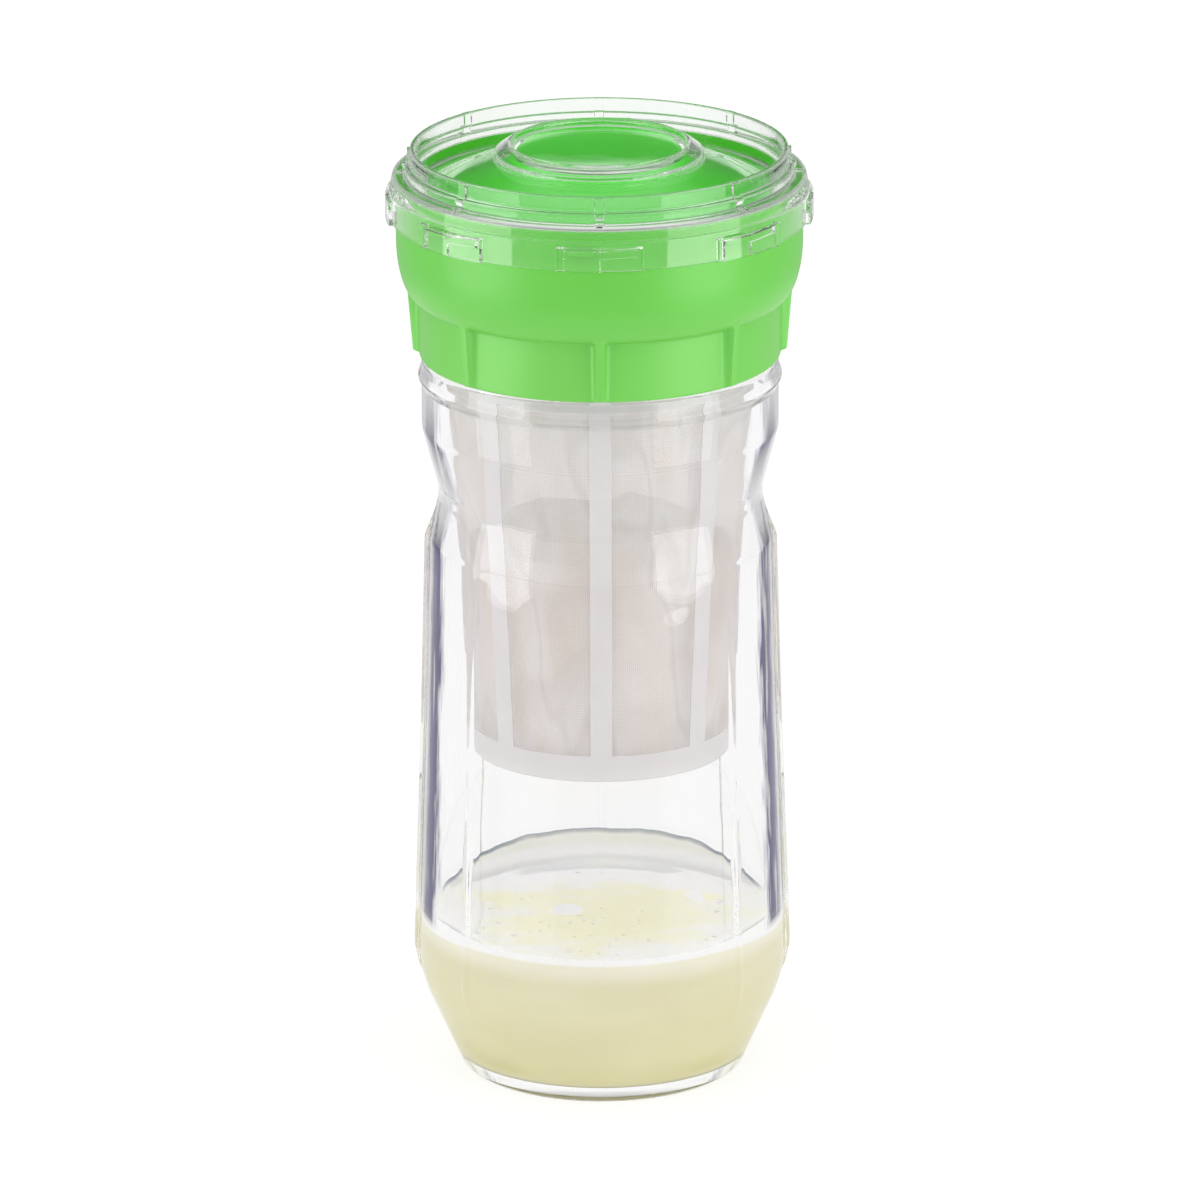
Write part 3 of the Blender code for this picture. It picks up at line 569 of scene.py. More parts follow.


# how strongly the painted shade darkens a point's glass edge-on: only the outer wall above the
# whey, at each side, and four short painted dark marks on the standing ring
def shadeEdges(shape):
    band = {
        "side": (42, 30),  # degrees from the side where it starts and where it is full
        "waist": ((131, 140), (144, 150)),
        "waistLoss": 0.45,
        "neck": (158, 164),
        "neckLoss": 0.35,
        "ribLoss": (0.4, 0.6, 0.85),  # right rib, left rib, others
    }
    # painted shade: short dark marks on the standing ring below four of the ribs
    shadeMarks = {"angles": (48, 132), "width": (4, 8), "height": (0.3, 1.2), "top": 4.0, "shade": 0.9}
    start, full = [math.cos(math.radians(angle)) for angle in band["side"]]
    layer = shape.verts.layers.float.new("edgeShade")
    for vert in shape.verts:
        radius, angle, height = polar(vert.co)
        outside = radius > outlineRadius(jarWall, height) - jar["skin"]
        if not outside or height >= jar["rimHeight"] - 10:
            vert[layer] = 0.0
        elif height < shadeMarks["top"]:
            away = min(abs(abs(fromFront(angle)) - mark) for mark in shadeMarks["angles"])
            share = (1 - smoothStep(*shadeMarks["width"], away)) * smoothStep(*shadeMarks["height"], height)
            vert[layer] = shadeMarks["shade"] * share
        else:
            right, left, others = band["ribLoss"]
            ribLoss = right if abs(angle) < 20 else left if abs(angle) > 160 else others
            dry = smoothStep(whey["top"] - 0.5, whey["top"] + 1.5, height)
            dry *= 1 - ribLoss * smoothStep(0.02, 0.3, ribGrowth(angle, height))
            dry *= smoothStep(start, full, abs(vert.co.x) / radius)
            below, above = band["waist"]
            waist = smoothStep(*below, height) * (1 - smoothStep(*above, height))
            neck = smoothStep(*band["neck"], height)
            vert[layer] = dry * (1 - band["waistLoss"] * waist) * (1 - band["neckLoss"] * neck)


def makeJar(glass):
    lip, high, low = jar["lipRound"], jar["rimHeight"], jar["floor"]
    rim = [(jar["neckBore"], high, lip), (jar["neckRadius"], high, lip)]
    corners = [(0.0, low)] + jarInside + rim + jarOutside + [(0.0, jar["footRise"])]
    shape = drawProfile(corners, closed=False)
    addRows(shape, 12, 140, 2.4, beyond=33.7)
    addRows(shape, 176.4, 186.8, 0.3, beyond=38.5)
    near = [0.6, 1.1, 1.5, 2.0, 2.6, 3.4]
    spinSides(shape, sideColumns(mirrored(near), 12))
    reshape(shape, jarRule)
    shadeEdges(shape)
    addPiece(shape, "glass_jar", "jar", glass, "jar_body", "jar_glass", sharp=60)


# ---- whey

whey = {
    "top": 38.2,
    "overlap": 0.08,
    "rim": 1.2,
    "bubbles": 60,
    "bubbleReach": 37.5,
    "bubbleSize": (0.25, 0.6),
    "bubbleFlat": 0.18,
}
whey["wall"] = outlineRadius(jarInside, whey["top"]) + whey["overlap"]
# how far its film stands up at the wall in mm, and the sine or cosine where that sets in
film = {
    "meniscus": 0.25,
    "beside": 1.8,
    "besideFrom": (0.5, 1.0),
    "behind": 5.1,
    "behindFrom": (0.15, 0.95),
    "waves": (7.0, 26.0),
    "ragged": 0.35,
    "reach": 8.0,
    "ripple": 0.10,
    "rippleScale": 0.06,
}
wheyTones = {
    "deep": (0.86, 0.82, 0.46),
    "body": (0.785, 0.745, 0.49),
    "pale": (0.985, 0.985, 0.93),
    "middle": (0.98, 0.96, 0.58),
    "film": (0.94, 0.95, 0.89),
    "white": (0.995, 0.995, 0.995),
    # painted shade for the film's upper edge
    "filmShade": (0.16, 0.21, 0.33),
}
# where a tone sets in and is full: in mm, but rimSides in degrees and pool in shares of it
toneSpans = {"body": (8, 33), "pale": (31, 36), "back": (13, 19), "behind": (2, 10)}
toneSpans |= {"film": (1.6, 2.8), "rimSides": (35, 80), "pool": (0.35, 1.0)}
pool = {"narrow": 0.85, "forward": 9, "reach": 33, "cloudy": 0.55}  # the yellow middle


def wheyRise(turn):
    slow, fast = [noise.noise(Vector((turn * waves, 0, 4))) for waves in film["waves"]]
    behind = smoothStep(*film["behindFrom"], math.sin(turn))
    behind *= film["behind"] + film["ragged"] * (slow + 0.6 * fast)
    beside = film["beside"] * smoothStep(*film["besideFrom"], abs(math.cos(turn)))
    return film["meniscus"] + max(behind, beside)


def wheyRule(radius, angle, height):
    if height < whey["top"] - 0.4:
        return radius, angle, height
    turn = math.radians(angle)
    spot = Vector((radius * math.cos(turn), radius * math.sin(turn), 0))
    share = math.exp(-(whey["wall"] - radius) / (film["reach"] / 3))
    height += wheyRise(turn) * share
    return radius, angle, height + film["ripple"] * noise.noise(spot * film["rippleScale"])


# lays tones over the first one, each by its share
def layTones(first, *layers):
    tone = wheyTones[first]
    for name, share in layers:
        tone = tuple(a + (b - a) * share for a, b in zip(tone, wheyTones[name]))
    return (*tone, 1.0)


# cream body that grows paler upwards, with a painted reflection: a white rim just under the
# surface, deeper at the sides
def bodyTone(spot, turn):
    body, pale = [smoothStep(*toneSpans[name], spot.z) for name in ("body", "pale")]
    deeper = smoothStep(*toneSpans["rimSides"], abs(fromFront(math.degrees(turn))))
    # painted reflection: the white rim under the surface
    rim = whey["top"] - whey["rim"] - whey["rim"] * deeper
    white = smoothStep(rim - 0.25, rim + 0.25, spot.z)
    return layTones("deep", ("body", body), ("pale", 0.5 * pale), ("white", white))


# pale surface with a yellow middle and a painted reflection whitening it towards the back, the film
# behind it with painted shade along its upper edge, and a painted highlight along the front rim
def surfaceTone(spot, turn, radius):
    wall, rise, climbed = whey["wall"], wheyRise(turn), spot.z - whey["top"]
    cloud = noise.noise(Vector((spot.x * 0.04, spot.y * 0.09, 1)))
    cloud += 0.5 * noise.noise(Vector((spot.x * 0.14, spot.y * 0.28, 2)))
    away = math.hypot(spot.x * pool["narrow"], spot.y + pool["forward"]) / pool["reach"]
    outside = smoothStep(*toneSpans["pool"], away + pool["cloudy"] * cloud)
    # painted reflection of the backdrop: white towards the back
    back = smoothStep(*toneSpans["back"], spot.y + 4 * cloud)
    behind = smoothStep(*toneSpans["behind"], spot.y)
    # painted shade along the film's upper edge
    edge = smoothStep(rise - 0.9, rise - 0.5, climbed) * smoothStep(wall - 1.2, wall - 0.4, radius)
    return layTones(
        "middle",
        ("pale", outside),
        ("white", back),
        ("film", behind * smoothStep(*toneSpans["film"], climbed)),
        ("filmShade", behind * edge),
        # painted highlight: white along the front rim
        ("white", (1 - behind) * smoothStep(wall - 0.8, wall - 0.3, radius)),
    )


def paintWhey(shape):
    layer = shape.verts.layers.float_color.new("wheyTone")
    for vert in shape.verts:
        radius, turn = math.hypot(vert.co.x, vert.co.y), math.atan2(vert.co.y, vert.co.x)
        inBody = vert.co.z < whey["top"] - 0.05
        vert[layer] = bodyTone(vert.co, turn) if inBody else surfaceTone(vert.co, turn, radius)


def makeBubbles():
    chance = random.Random(7)
    foam = bmesh.new()
    for _ in range(whey["bubbles"]):
        radius = whey["bubbleReach"] * math.sqrt(chance.random())
        turn = math.radians(chance.gauss(-100, 75))
        size = chance.uniform(*whey["bubbleSize"])
        made = bmesh.ops.create_icosphere(foam, subdivisions=1, radius=size)["verts"]
        bmesh.ops.scale(foam, vec=(1, 1, whey["bubbleFlat"]), verts=made)
        place = (radius * math.cos(turn), radius * math.sin(turn), whey["top"] + 0.06)
        bmesh.ops.translate(foam, vec=place, verts=made)
    return foam


def makeWheyPiece(liquid, froth):
    top, overlap = whey["top"], whey["overlap"]
    lower = [(r + overlap, z - overlap, bend) for r, z, bend in jarInside[:2]]
    corners = [(0.0, jar["floor"] - overlap)] + lower + [(whey["wall"], top), (0.0, top)]
    shape = drawProfile(corners, closed=False)
    for edge in list(shape.edges):
        if min(vert.co.z for vert in edge.verts) >= top:
            bmesh.ops.subdivide_edges(shape, edges=[edge], cuts=110)
    addRows(shape, 24.0, top - 0.1, 0.3, beyond=30)
    spinSides(shape, sideColumns((0.0,), 26))
    reshape(shape, wheyRule)
    paintWhey(shape)
    addPiece(shape, "whey_pool", "jar", liquid, "whey", "whey_liquid", sharp=70)
    bubbles = makeBubbles()
    reshape(bubbles, wheyRule)
    addPiece(bubbles, "whey_bubbles", "jar", froth, slot="whey_liquid")


# ---- gasket

gasket = {"bore": 36.95, "rim": 40.15, "low": 188.3, "high": 190.3}


def makeGasket(silicone):
    bore, rim, low, high = gasket.values()
    corners = [(rim, high, 0.5), (rim, low, 0.5), (bore, low, 0.4), (bore, high, 0.4)]
    shape = drawProfile(corners)
    spinSides(shape, sideColumns((0.0,), 11))
    addPiece(shape, "seal_ring", "gasket", silicone, "neck_gasket", "gasket_silicone")


# ---- screw collar

collar = {
    "low": 176.1,
    "top": 218.7,
    "bore": 40.85,
    "ring": 42.5,
    "shelf": 190.6,
    "shelfTop": 192.4,
    "shelfBore": 36.35,
    "bowl": 47.7,
    "bowlBore": 45.9,
    "bowlTop": 204.3,
    "ledge": (209.0, 210.4, 212.8),  # where its slope starts and ends, and its top
    "ledgeDepth": 1.4,
    "ribFoot": 43.9,
    "ribHead": 45.1,
    "ribEnd": 197.2,
    "ribHalf": 1.35,
    "lugWidth": 6.0,
    "lugTop": 214.1,
    "lugHeight": 1.0,
    "lugProud": 1.2,
    "lugRoot": 0.9,  # sunk into the bowl's wall
    "lugTurn": -5.0,
    "lugRound": 0.18,
    "thread": {"start": 180.3, "turns": 1.5, "height": 1.35},
}


# quarter ellipse that flares from the ring up to the bowl
def bowlCurve(foot, rim, low, high, steps):
    curve = []
    for step in range(steps + 1):
        turn = math.pi / 2 * step / steps
        curve.append((foot + (rim - foot) * math.sin(turn), high - (high - low) * math.cos(turn)))
    return curve


def collarRule(radius, angle, height):
    low, shelf = collar["low"], collar["shelf"]
    if radius > collar["ring"] - 0.6 and height < collar["ribEnd"]:
        share = (height - low) / (shelf - low)
        crest = collar["ribFoot"] + (collar["ribHead"] - collar["ribFoot"]) * share
        offset = abs(math.radians(fromSide(angle)[0])) * radius
        half = collar["ribHalf"]
        across = 1 - smoothStep(half - 0.7, half + 0.5, offset)
        across = max(across, 0.25 * (1 - smoothStep(half, half + 0.9, offset)))
        grown = max(0.0, crest - radius) * smoothStep(low, low + 0.8, height)
        radius += across * grown
    elif radius < collar["bore"] + 0.4 and low + 0.8 < height < shelf - 0.6:
        radius -= threadHeight(collar["thread"], angle, height)
    return radius, angle, height


def makeLugs():
    lugs = bmesh.new()
    depth, height = collar["lugProud"] + collar["lugRoot"], collar["lugHeight"]
    middle = (collar["bowl"] + collar["lugProud"] - depth / 2, 0, collar["lugTop"] - height / 2)
    for side in range(sides):
        made = addBlock(lugs, (depth, collar["lugWidth"], height), middle)
        turn = Matrix.Rotation(math.radians(side * sideAngle + collar["lugTurn"]), 3, "Z")
        bmesh.ops.rotate(lugs, cent=(0, 0, 0), matrix=turn, verts=made)
    roundOff(lugs, list(lugs.edges), collar["lugRound"], 2, "EDGES")
    return lugs


def makeCollar(plastic):
    bowl, ring, low, shelf = collar["bowl"], collar["ring"], collar["low"], collar["shelf"]
    bore, bowlBore, shelfTop = collar["bore"], collar["bowlBore"], collar["shelfTop"]
    outside = [(bowl, collar["top"], 0.6)]
    outside += bowlCurve(ring + 0.5, bowl, shelf, collar["bowlTop"], 14)[::-1]
    outside += [(ring, shelf - 0.5, 0.4), (ring, low, 0.5)]
    inside = [
        (bore, low, 0.5),
        (bore, shelf, 0.4),
        (collar["shelfBore"], shelf, 0.4),
        (collar["shelfBore"], shelfTop, 0.4),
    ]
    inside += bowlCurve(bore + 0.8, bowlBore, shelfTop, collar["bowlTop"], 8)
    slopeLow, slopeHigh, ledgeTop = collar["ledge"]
    ledge = bowlBore - collar["ledgeDepth"]
    inside += [
        (bowlBore, slopeLow, 0.3),
        (ledge, slopeHigh, 0.3),
        (ledge, ledgeTop, 0.3),
        (bowlBore, ledgeTop, 0.3),
        (bowlBore, collar["top"], 0.5),
    ]
    shape = drawProfile(outside + inside)
    addRows(shape, 176.6, 198.5, 0.45, beyond=ring - 0.3)
    addRows(shape, 177.0, 190.0, 0.35, beyond=bore - 0.2)
    near = [1.1, 1.4, 1.7, 2.0, 2.3, 2.6, 3.0, 4.0]
    spinSides(shape, sideColumns(mirrored(near), 11))
    reshape(shape, collarRule)
    joinShape(shape, makeLugs())
    addPiece(shape, "green_collar", "collar", plastic, "screw_collar", "collar_green", sharp=42)


# ---- strainer basket

basket = {
    "foot": 79.6,
    "flange": 192.7,
    "flangeWidth": 5.2,
    "flangeHeight": 1.5,
    "footRadius": 30.9,
    "footRing": 4.8,
    "taper": 0.0494,
    "straight": 177.7,
    "wall": 1.2,
    "windowLow": 86.3,
    "windowHigh": 171.9,
    "ribHalf": 2.5,
    "ribColumns": 4.3,  # degrees that a rib's columns span before they are set to its width
    "floor": 81.2,
    "spoke": 3.0,
    "hub": 5.0,
    "inside": 2.4,  # from the wall's outline in to what the mesh holds
}
netting = {"inset": 0.25, "thickness": 0.4, "floorLow": 0.6, "floorThickness": 0.5, "wrap": 34.0}


def basketRadius(height):
    risen = min(height, basket["straight"]) - basket["foot"]
    return basket["footRadius"] + basket["taper"] * risen


def basketRule(radius, angle, height):
    away, side = fromSide(angle)
    edge = basket["ribColumns"]
    wanted = math.degrees(basket["ribHalf"] / max(radius, 25.0))
    if abs(away) <= edge:
        away *= wanted / edge
    else:
        far = sideAngle / 2
        away = math.copysign(far - (far - abs(away)) * (far - wanted) / (far - edge), away)
    return radius, side * sideAngle + away, height


def makeBasketFrame(plastic):
    wall, foot, flange, floor = [basket[key] for key in ("wall", "foot", "flange", "floor")]
    heights = (basket["straight"], basket["windowHigh"], basket["windowLow"])
    outer = [(basketRadius(height), height) for height in heights]
    inner = [(radius - wall, height) for radius, height in outer[::-1]]
    band, footRadius = basketRadius(flange), basket["footRadius"]
    rim, flangeTop = band + basket["flangeWidth"], flange + basket["flangeHeight"]
    corners = [(rim, flangeTop, 0.5), (rim, flange, 0.4), (band, flange, 0.4)] + outer
    corners += [
        (footRadius, foot, 0.9),
        (footRadius - basket["footRing"], foot, 0.3),
        (footRadius - basket["footRing"], floor, 0.3),
        (basketRadius(floor) - wall, floor, 0.6),
    ]
    corners += inner + [(band - wall, flangeTop, 0.4)]
    shape = drawProfile(corners)
    spinSides(shape, sideColumns(mirrored([1.6, 3.2, basket["ribColumns"]]), 10))
    cutWindows(shape)
    reshape(shape, basketRule)
    joinShape(shape, makeBasketFloor())
    names = ("basket_frame", "basket_milky")
    addPiece(shape, "basket_frame_milky", "basket", plastic, *names, sharp=42)


# opens the wall between the ribs and closes each window's edge through the wall
def cutWindows(shape):
    low, high = basket["windowLow"] - 0.01, basket["windowHigh"] + 0.01
    gone = []
    for face in shape.faces:
        heights = [vert.co.z for vert in face.verts]
        away, _ = fromSide(polar(face.calc_center_median())[1])
        if min(heights) >= low and max(heights) <= high and abs(away) > basket["ribColumns"]:
            gone.append(face)
    bmesh.ops.delete(shape, geom=gone, context="FACES")
    rims = [edge for edge in shape.edges if edge.is_boundary]
    for side in range(sides):
        window = []
        for edge in rims:
            angle = polar((edge.verts[0].co + edge.verts[1].co) / 2)[1]
            away = (angle - (side + 0.5) * sideAngle + 180) % 360 - 180
            if abs(away) < sideAngle / 2 - 2:
                window.append(edge)
        bmesh.ops.bridge_loops(shape, edges=window)
    bmesh.ops.recalc_face_normals(shape, faces=shape.faces)


def makeBasketFloor():
    shape = bmesh.new()
    spoke, height = basket["spoke"], basket["floor"] - basket["foot"]
    middle = (0, 0, basket["foot"] + height / 2)
    reach = 2 * (basket["footRadius"] - 3.0)
    addBlock(shape, (reach, spoke, height - 0.3), middle)
    addBlock(shape, (spoke, reach, height - 0.6), middle)
    size = {"radius1": basket["hub"], "radius2": basket["hub"], "depth": height}
    hub = bmesh.ops.create_cone(shape, cap_ends=True, segments=48, **size)["verts"]
    bmesh.ops.translate(shape, vec=middle, verts=hub)
    return shape


# the weave's UV map runs in millimetres along the wall and up it
def makeSleeve(nylon):
    low, high = basket["floor"] + 0.3, basket["straight"]
    outer = [(basketRadius(height) - netting["inset"], height) for height in (high, low)]
    inner = [(radius - netting["thickness"], height) for radius, height in outer[::-1]]
    shape = drawProfile(outer + inner)
    addRows(shape, low, high, 6.0)
    spinSides(shape, sideColumns((0.0,), 11))
    layer = shape.loops.layers.uv.new("weave")
    for face in shape.faces:
        middle = face.calc_center_median()
        centre = math.atan2(middle.y, middle.x)
        for corner in face.loops:
            spot = corner.vert.co
            turn = math.atan2(spot.y, spot.x)
            turn += 2 * math.pi * round((centre - turn) / (2 * math.pi))
            corner[layer].uv = (turn * netting["wrap"], spot.z)
    addPiece(shape, "mesh_sleeve_woven", "basket", nylon, "mesh_sleeve", "mesh_nylon")


def makeMeshFloor(nylon):
    low = basket["floor"] + netting["floorLow"]
    high = low + netting["floorThickness"]
    radius = basketRadius(low) - basket["inside"]
    shape = drawProfile([(0.0, high), (radius, high), (radius, low), (0.0, low)], closed=False)
    spinSides(shape, sideColumns((0.0,), 11))
    layer = shape.loops.layers.uv.new("weave")
    for face in shape.faces:
        for corner in face.loops:
            corner[layer].uv = corner.vert.co.xy
    addPiece(shape, "mesh_floor_woven", "basket", nylon, "mesh_floor", "mesh_nylon")


# ---- curd

curd = {"low": 82.6, "top": 140.6, "shoulder": 9.0, "lumps": 0.16, "depth": 1.5}
crown = {"height": 8, "swell": 3.5, "swells": 0.09, "sink": 2.0, "lumps": 1.2}


def curdRule(radius, angle, height):
    turn = math.radians(angle)
    spot = Vector((radius * math.cos(turn), radius * math.sin(turn), height))
    lumps = noise.noise(spot * curd["lumps"]) + 0.5 * noise.noise(spot * curd["lumps"] * 2.3)
    inset = curd["depth"] * (0.55 - 0.75 * lumps)
    radius = min(radius, max(radius * 0.2, radius - max(0.0, inset) * radius / 30))
    if height > curd["top"] - crown["height"]:
        height += crown["swell"] * noise.noise(spot * crown["swells"]) - crown["sink"]
        height += crown["lumps"] * lumps
    return radius, angle, min(height, curd["top"])


def makeCurd(cheese):
    low, top = curd["low"], curd["top"]
    wall, rim = [basketRadius(height) - basket["inside"] for height in (low, top)]
    corners = [
        (0.0, top),
        (rim * 0.6, top - 1.5, 8.0),
        (rim, top - curd["shoulder"], 5.0),
        (wall, low, 1.0),
        (0.0, low),
    ]
    shape = drawProfile(corners, closed=False)
    addRows(shape, low, top + 1, 0.9, beyond=2.0)
    spinSides(shape, sideColumns((0.0,), 24))
    reshape(shape, curdRule)
    addPiece(shape, "curd_lumps", "basket", cheese, "kefir_curd", "kefir_curd", sharp=80)


# ---- cone cover

cover = {
    "ledge": 213.1,
    "radius": 45.6,
    "cone": 44.4,
    "rimTop": 213.8,
    "rimWidth": 0.6,
    "slope": 0.40,
    "disc": 20.6,
    "discRise": 0.4,
    "wall": 1.5,
}


def coneHeight(radius):
    return cover["rimTop"] + cover["slope"] * (cover["cone"] - radius)


def makeCover(plastic):
    disc, cone, rim, wall = [cover[key] for key in ("disc", "cone", "radius", "wall")]
    top, rimTop, ledge = coneHeight(disc) + cover["discRise"], cover["rimTop"], cover["ledge"]
    inner = cone - cover["rimWidth"]
    corners = [
        (0.0, top),
        (disc, top, 0.35),
        (disc + 0.15, coneHeight(disc), 0.1),
        (cone, rimTop, 0.3),
        (rim, rimTop, 0.3),
        (rim, ledge, 0.2),
        (cone, ledge),
        (inner, coneHeight(inner) - wall),
        (disc, coneHeight(disc) - wall),
        (0.0, top - wall),
    ]
    shape = drawProfile(corners, closed=False)
    spinSides(shape, sideColumns((0.0,), 14))
    addPiece(shape, "cone_cover", "cover", plastic, "inner_cover", "cover_green")


# ---- clear lid

lid = {
    "under": 219.0,
    "ringTop": 225.9,
    "ring": 44.3,
    "foot": 45.6,
    "footTop": 222.1,
    "flange": 219.9,
    "ringBore": 43.0,
    "skirt": 49.2,
    "skirtBore": 48.1,
    "skirtLow": 209.6,
    "stepHeight": 216.6,
    "stepDepth": 0.2,
    "wall": 1.2,
    "discGap": 0.3,
    "coneGap": 0.5,
    "cup": 24.6,
    "rim": 21.3,
    "rimBore": 20.5,
    "cupDepth": 1.9,
    "cupSlope": 2.1,
    "boss": 50.1,
    "bossHalf": 11.7,
    "bossTop": 215.2,
    "slot": 49.25,
    "slotStart": -9.6,
    "slotEntry": 0.1,
    "slotEnd": 9.9,
    "slotFloor": 212.4,
    "slotRoof": 214.3,
    "slotRamp": 0.5,
    "buttressHalf": 1.05,
    "buttress": 0.6,
    "crisp": 0.18,  # half the width in degrees of the narrow faces at bosses and slots
    "crispRows": 0.12,  # and half their height in mm
    "matt": 0.45,
}


def lidRule(radius, angle, height):
    away, _ = fromSide(angle)
    if radius > lid["skirt"] - 0.45 and height < lid["bossTop"] and abs(away) < lid["bossHalf"]:
        return lid["boss"], angle, height
    start, entry, end = lid["slotStart"], lid["slotEntry"], lid["slotEnd"]
    low, high = lid["slotFloor"], lid["slotRoof"]
    if -0.05 < radius - lid["skirtBore"] < 0.25 and height < lid["under"] - 0.5:
        if start < away < entry and height < high:
            return lid["slot"], angle, height
        if entry <= away < end:
            rise = lid["slotRamp"] * (away - entry) / (end - entry)
            if low - 0.3 < height < high + 0.3:
                height += rise
            if low + rise < height < high + rise:
                return lid["slot"], angle, height
    if abs(math.radians(away)) * radius < lid["buttressHalf"] + 0.02:
        if lid["ring"] - 0.1 < radius < lid["foot"] + 0.2 and height > lid["flange"] + 0.6:
            radius += lid["buttress"]
        elif lid["foot"] - 0.2 < radius < lid["skirt"] - 1.0 and height > lid["flange"] - 0.2:
            height += 0.5 * lid["buttress"]
    return radius, angle, height


# the moulded edges are a little matt: each narrow face of a rounding or of a slot's rim
def softenEdges(shape):
    soft = {"width": 0.34, "flat": 0.01, "window": 15, "skirt": 47, "slotDepth": 0.5, "rim": 0.4}
    layer = shape.faces.layers.float.new("softEdge")
    for face in shape.faces:
        radii, _, heights = zip(*[polar(vert.co) for vert in face.verts])
        tall, deep = max(heights) - min(heights), max(radii) - min(radii)
        shortest = min(edge.calc_length() for edge in face.edges)
        rounding = math.hypot(tall, deep) < soft["width"] and min(tall, deep) > soft["flat"]
        slotRim = min(radii) > soft["skirt"] and deep > soft["slotDepth"] and shortest < soft["rim"]
        isMatt = min(radii) >= soft["window"] and (rounding or slotRim)
        face[layer] = lid["matt"] if isMatt else 0.0


def makeLid(plastic):
    wall, gap, step = lid["wall"], lid["coneGap"], lid["stepDepth"]
    ring, ringBore, foot, flange = [lid[key] for key in ("ring", "ringBore", "foot", "flange")]
    cup, rim, rimBore, bore = [lid[key] for key in ("cup", "rim", "rimBore", "skirtBore")]
    skirt, skirtLow, bossTop = lid["skirt"], lid["skirtLow"], lid["bossTop"]
    low, high, crisp, rows = [lid[key] for key in ("slotFloor", "slotRoof", "crisp", "crispRows")]
    window = coneHeight(cover["disc"]) + cover["discRise"] + lid["discGap"] + wall
    cupTop = window + lid["cupDepth"]
    shoulder = cupTop - lid["cupSlope"]
    top = [
        (0.0, window),
        (rimBore, window, 0.5),
        (rimBore, cupTop, 0.35),
        (rim, cupTop, 0.35),
        (cup - 0.2, shoulder, 0.5),
        (cup, coneHeight(cup) + gap + wall, 0.5),
        (ringBore, coneHeight(ringBore) + gap + wall, 0.6),
        (ringBore, lid["ringTop"], 0.4),
        (ring, lid["ringTop"], 0.4),
        (ring, lid["footTop"] + 0.2, 0.4),
        (foot, lid["footTop"], 0.5),
        (foot, flange, 0.5),
        (skirt - step - 0.6, flange, 0.9),
        (skirt - step, lid["stepHeight"] + 0.1, 0.5),
        (skirt, lid["stepHeight"] - step, 0.08),
        (skirt, bossTop + rows),
        (skirt, bossTop - rows),
        (skirt, skirtLow, 0.25),
    ]
    under = [(bore, skirtLow, 0.15), (bore, low - rows), (bore, low + rows)]
    under += [(bore, high - rows), (bore, high + rows)]
    under += [
        (bore, lid["under"] - 0.1, 0.5),
        (ring, lid["under"], 0.3),
        (ring, coneHeight(ring) + gap, 0.4),
        (cup, coneHeight(cup) + gap, 0.2),
        (cup - wall, coneHeight(cup - wall) + gap, 0.3),
        (cup - wall, shoulder - wall, 0.5),
        (rimBore, cupTop - wall - 0.5, 0.3),
        (rimBore - wall, window - wall, 0.3),
        (0.0, window - wall),
    ]
    shape = drawProfile(top + under, closed=False)
    addRows(shape, 208.0, 215.0, 1.2, beyond=47.9)
    edges = [lid[key] for key in ("slotStart", "slotEntry", "slotEnd", "bossHalf")]
    edges = [-lid["bossHalf"]] + edges
    near = [edge + side * crisp for edge in edges for side in (-1, 1)]
    near += [-7.0, -4.5, -2.5, -1.5, -1.3, -0.6, 0.7, 1.3, 1.5, 3.5, 5.5, 7.5]
    spinSides(shape, sideColumns(sorted(near), 7))
    reshape(shape, lidRule)
    softenEdges(shape)
    addPiece(shape, "lid_clear_shell", "lid", plastic, "clear_lid", "lid_clear", sharp=34)


# ---- studio


# the floor shows white to rays that see it, and keeps the object's shadow
def makeFloor():
    look = {"size": 12.0, "glow": (0.60, 0.92), "table": (0.40, 0.56), "beyond": 0.4, "direct": 1.2}
    paper = newMaterial(
        "whitePaper", Base_Color=(0.86, 0.86, 0.87), Roughness=0.9, Specular_IOR_Level=0.0
    )
    rays = addNode(paper, "LightPath").outputs
    # rays through glass see hardly any of the shadow
    glow = addSpan(paper, rays["Is Transmission Ray"], *look["glow"])
    share = addMath(paper, "MULTIPLY", seenRays(paper), glow)
    # reflections see a table that ends: dim beyond about half a metre
    spot = addNode(paper, "TexCoord").outputs["Object"]
    away = addNode(paper, "VectorMath", operation="LENGTH", Vector=spot).outputs["Value"]
    table = addSpan(paper, away, 1.0, look["beyond"], *look["table"], "SMOOTHSTEP")
    mirror = addMath(paper, "SUBTRACT", rays["Is Glossy Ray"], rays["Is Transmission Ray"])
    strength = addBlend(paper, mirror, 1.0, table)
    strength = addBlend(paper, rays["Is Camera Ray"], strength, look["direct"])
    light = addNode(paper, "Emission", Color=(1.0, 0.998, 0.985), Strength=strength)
    mixShaders(paper, share, principled(paper).outputs["BSDF"], light.outputs["Emission"])
    shape = bmesh.new()
    bmesh.ops.create_grid(shape, x_segments=1, y_segments=1, size=look["size"])
    floor = addObject(shape, "studioFloor", paper)


# a low white wall behind the object, which only shows through glass
def makeBackdrop():
    wall = {"distance": 0.5, "low": 0.001, "high": 0.3}
    white = newMaterial("backdropWhite")
    light = addNode(white, "Emission", Strength=1.0)
    target = white.node_tree.nodes["Material Output"].inputs["Surface"]
    feed(white, light.outputs["Emission"], target)
    shape = bmesh.new()
    low = shape.verts.new((wall["distance"], 0, wall["low"]))
    high = shape.verts.new((wall["distance"], 0, wall["high"]))
    spinOn(shape, [low, high, shape.edges.new((low, high))], math.pi, steps=36)
    backdrop = addObject(shape, "backdrop", white)
    for kind in ("camera", "diffuse", "glossy", "shadow"):
        setattr(backdrop, "visible_" + kind, False)


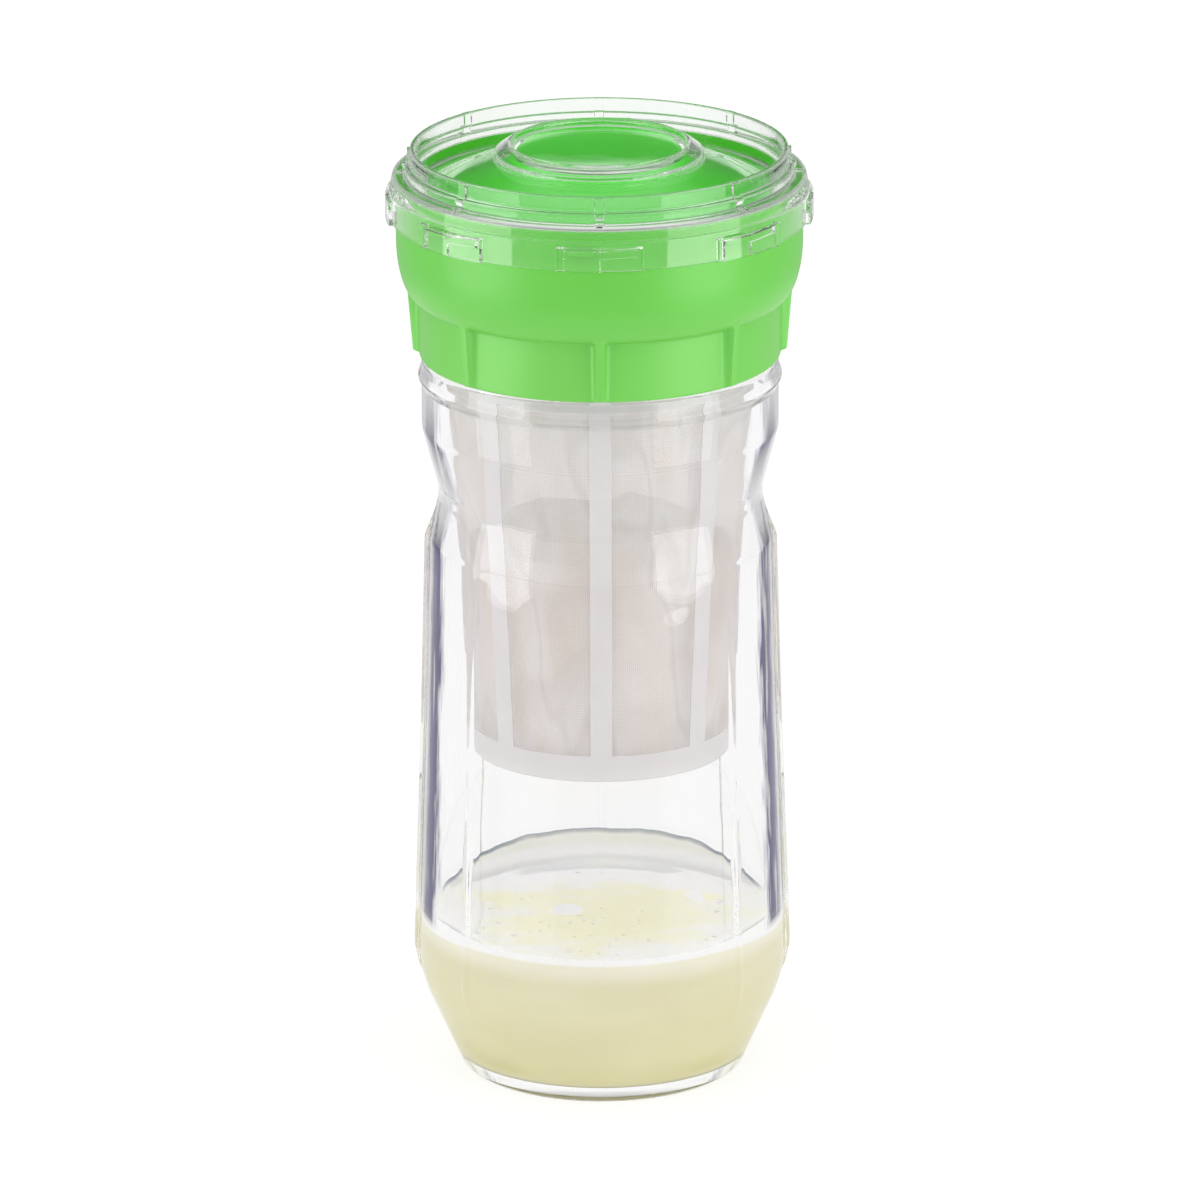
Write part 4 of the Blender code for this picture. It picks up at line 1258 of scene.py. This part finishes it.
# white for the camera; for mirror and glass rays white low down, dim above the backdrop and
# white again overhead
def makeWorld():
    sky = {"light": 0.88, "dim": 0.09, "rises": (7.0, 13.0, 38.0, 54.0)}
    world = bpy.data.worlds.new("studioWhite")
    scene.world = world
    world.use_nodes = True
    fill = world.node_tree.nodes["Background"]
    feed(world, (1, 1, 1), fill.inputs["Color"])
    feed(world, sky["light"], fill.inputs["Strength"])
    direction = addNode(world, "TexCoord").outputs["Generated"]
    rise = addNode(world, "SeparateXYZ", Vector=direction).outputs["Z"]
    heights = [math.sin(math.radians(angle)) for angle in sky["rises"]]
    levels = (1.0, sky["dim"], sky["dim"], 1.0)
    fade = addRamp(world, rise, *zip(heights, levels))
    mirror = addNode(world, "LightPath").outputs["Is Glossy Ray"]
    strength = addBlend(world, mirror, 1.0, fade)
    shown = addNode(world, "Background", Color=(1, 1, 1), Strength=strength)
    shaders = [node.outputs["Background"] for node in (fill, shown)]
    mixShaders(world, seenRays(world), *shaders, output="World Output")


# a soft box stands at each side and reaches down to the floor; its gloss lamp only shows
# in reflections, so that it brightens them without more light on the object
def addSoftBox(name, azimuth, radiance, gloss):
    box = {"distance": 0.47, "width": 0.36, "height": 0.62, "lift": 0.008, "apart": 0.01}
    turn = math.radians(azimuth)
    for part, amount, nearer in (("Light", radiance, 0.0), ("Gloss", gloss, box["apart"])):
        place = Vector((math.sin(turn), -math.cos(turn), 0)) * (box["distance"] - nearer)
        lamp = bpy.data.lights.new(name + part, "AREA")
        lamp.shape = "RECTANGLE"
        lamp.size = box["width"]
        lamp.size_y = box["height"]
        lamp.energy = amount * math.pi * box["width"] * box["height"]
        stand = bpy.data.objects.new(name + part, lamp)
        stand.location = place + Vector((0, 0, box["height"] / 2 + box["lift"]))
        stand.rotation_mode = "QUATERNION"
        stand.rotation_quaternion = (-place).to_track_quat("-Z", "Y")
        stand.visible_transmission = part == "Gloss"
        stand.visible_diffuse = part == "Light"
        scene.collection.objects.link(stand)


def makeCamera():
    view = {"elevation": 18.0, "distance": 2.35, "aim": (-0.000213, 0.0, 0.1145), "roll": -0.22}
    view |= {"lens": 297.47, "sensor": 36.0, "clipEnd": 50.0}
    data = bpy.data.cameras.new("photoCamera")
    data.lens = view["lens"]
    data.sensor_width = view["sensor"]
    data.clip_end = view["clipEnd"]
    camera = bpy.data.objects.new("photoCamera", data)
    rise = math.radians(view["elevation"])
    back = Vector((0.0, -math.cos(rise), math.sin(rise)))
    level = (-back).to_track_quat("-Z", "Y").to_matrix()
    turned = level @ Matrix.Rotation(math.radians(view["roll"]), 3, "Z")
    camera.location = Vector(view["aim"]) + back * view["distance"]
    camera.rotation_mode = "QUATERNION"
    camera.rotation_quaternion = turned.to_quaternion()
    scene.collection.objects.link(camera)
    scene.camera = camera


scene.view_settings.view_transform = "Standard"
for kind in ("max", "glossy", "transmission", "transparent_max"):
    setattr(scene.cycles, kind + "_bounces", 32)

makeWorld()
makeFloor()
makeBackdrop()
addSoftBox("softBoxLeft", -68, 0.7, 1.5)
addSoftBox("softBoxRight", 57, 0.8, 1.4)
makeCamera()
print("studio ready")

makeJar(makeGlass())
makeWheyPiece(makeWhey(), makeFroth())
makeGasket(makeSilicone())
# painted light: the green is paler and brighter low on the ring and deeper, darker green higher up
# the bowl
low, middle, high = (0.190, 0.68, 0.092), (0.150, 0.65, 0.064), (0.095, 0.60, 0.022)
collarTones = [(180, low), (192, low), (200, middle), (208, middle), (212, high)]
makeCollar(makeGreen("collarGreen", collarTones, 0.34, 0.6))
makeBasketFrame(makeMilky())
nylonFinish = makeMesh()
makeSleeve(nylonFinish)
makeMeshFloor(nylonFinish)
makeCurd(makeCheese())
# painted light: the disc on top is painted a brighter green than the cone
cone, disc = (0.050, 0.72, 0.008), (0.055, 0.90, 0.004)
makeCover(makeGreen("coverGreen", [(214, cone), (223.3, cone), (223.6, disc)], 0.30, 0.2))
makeLid(makeLidPlastic())
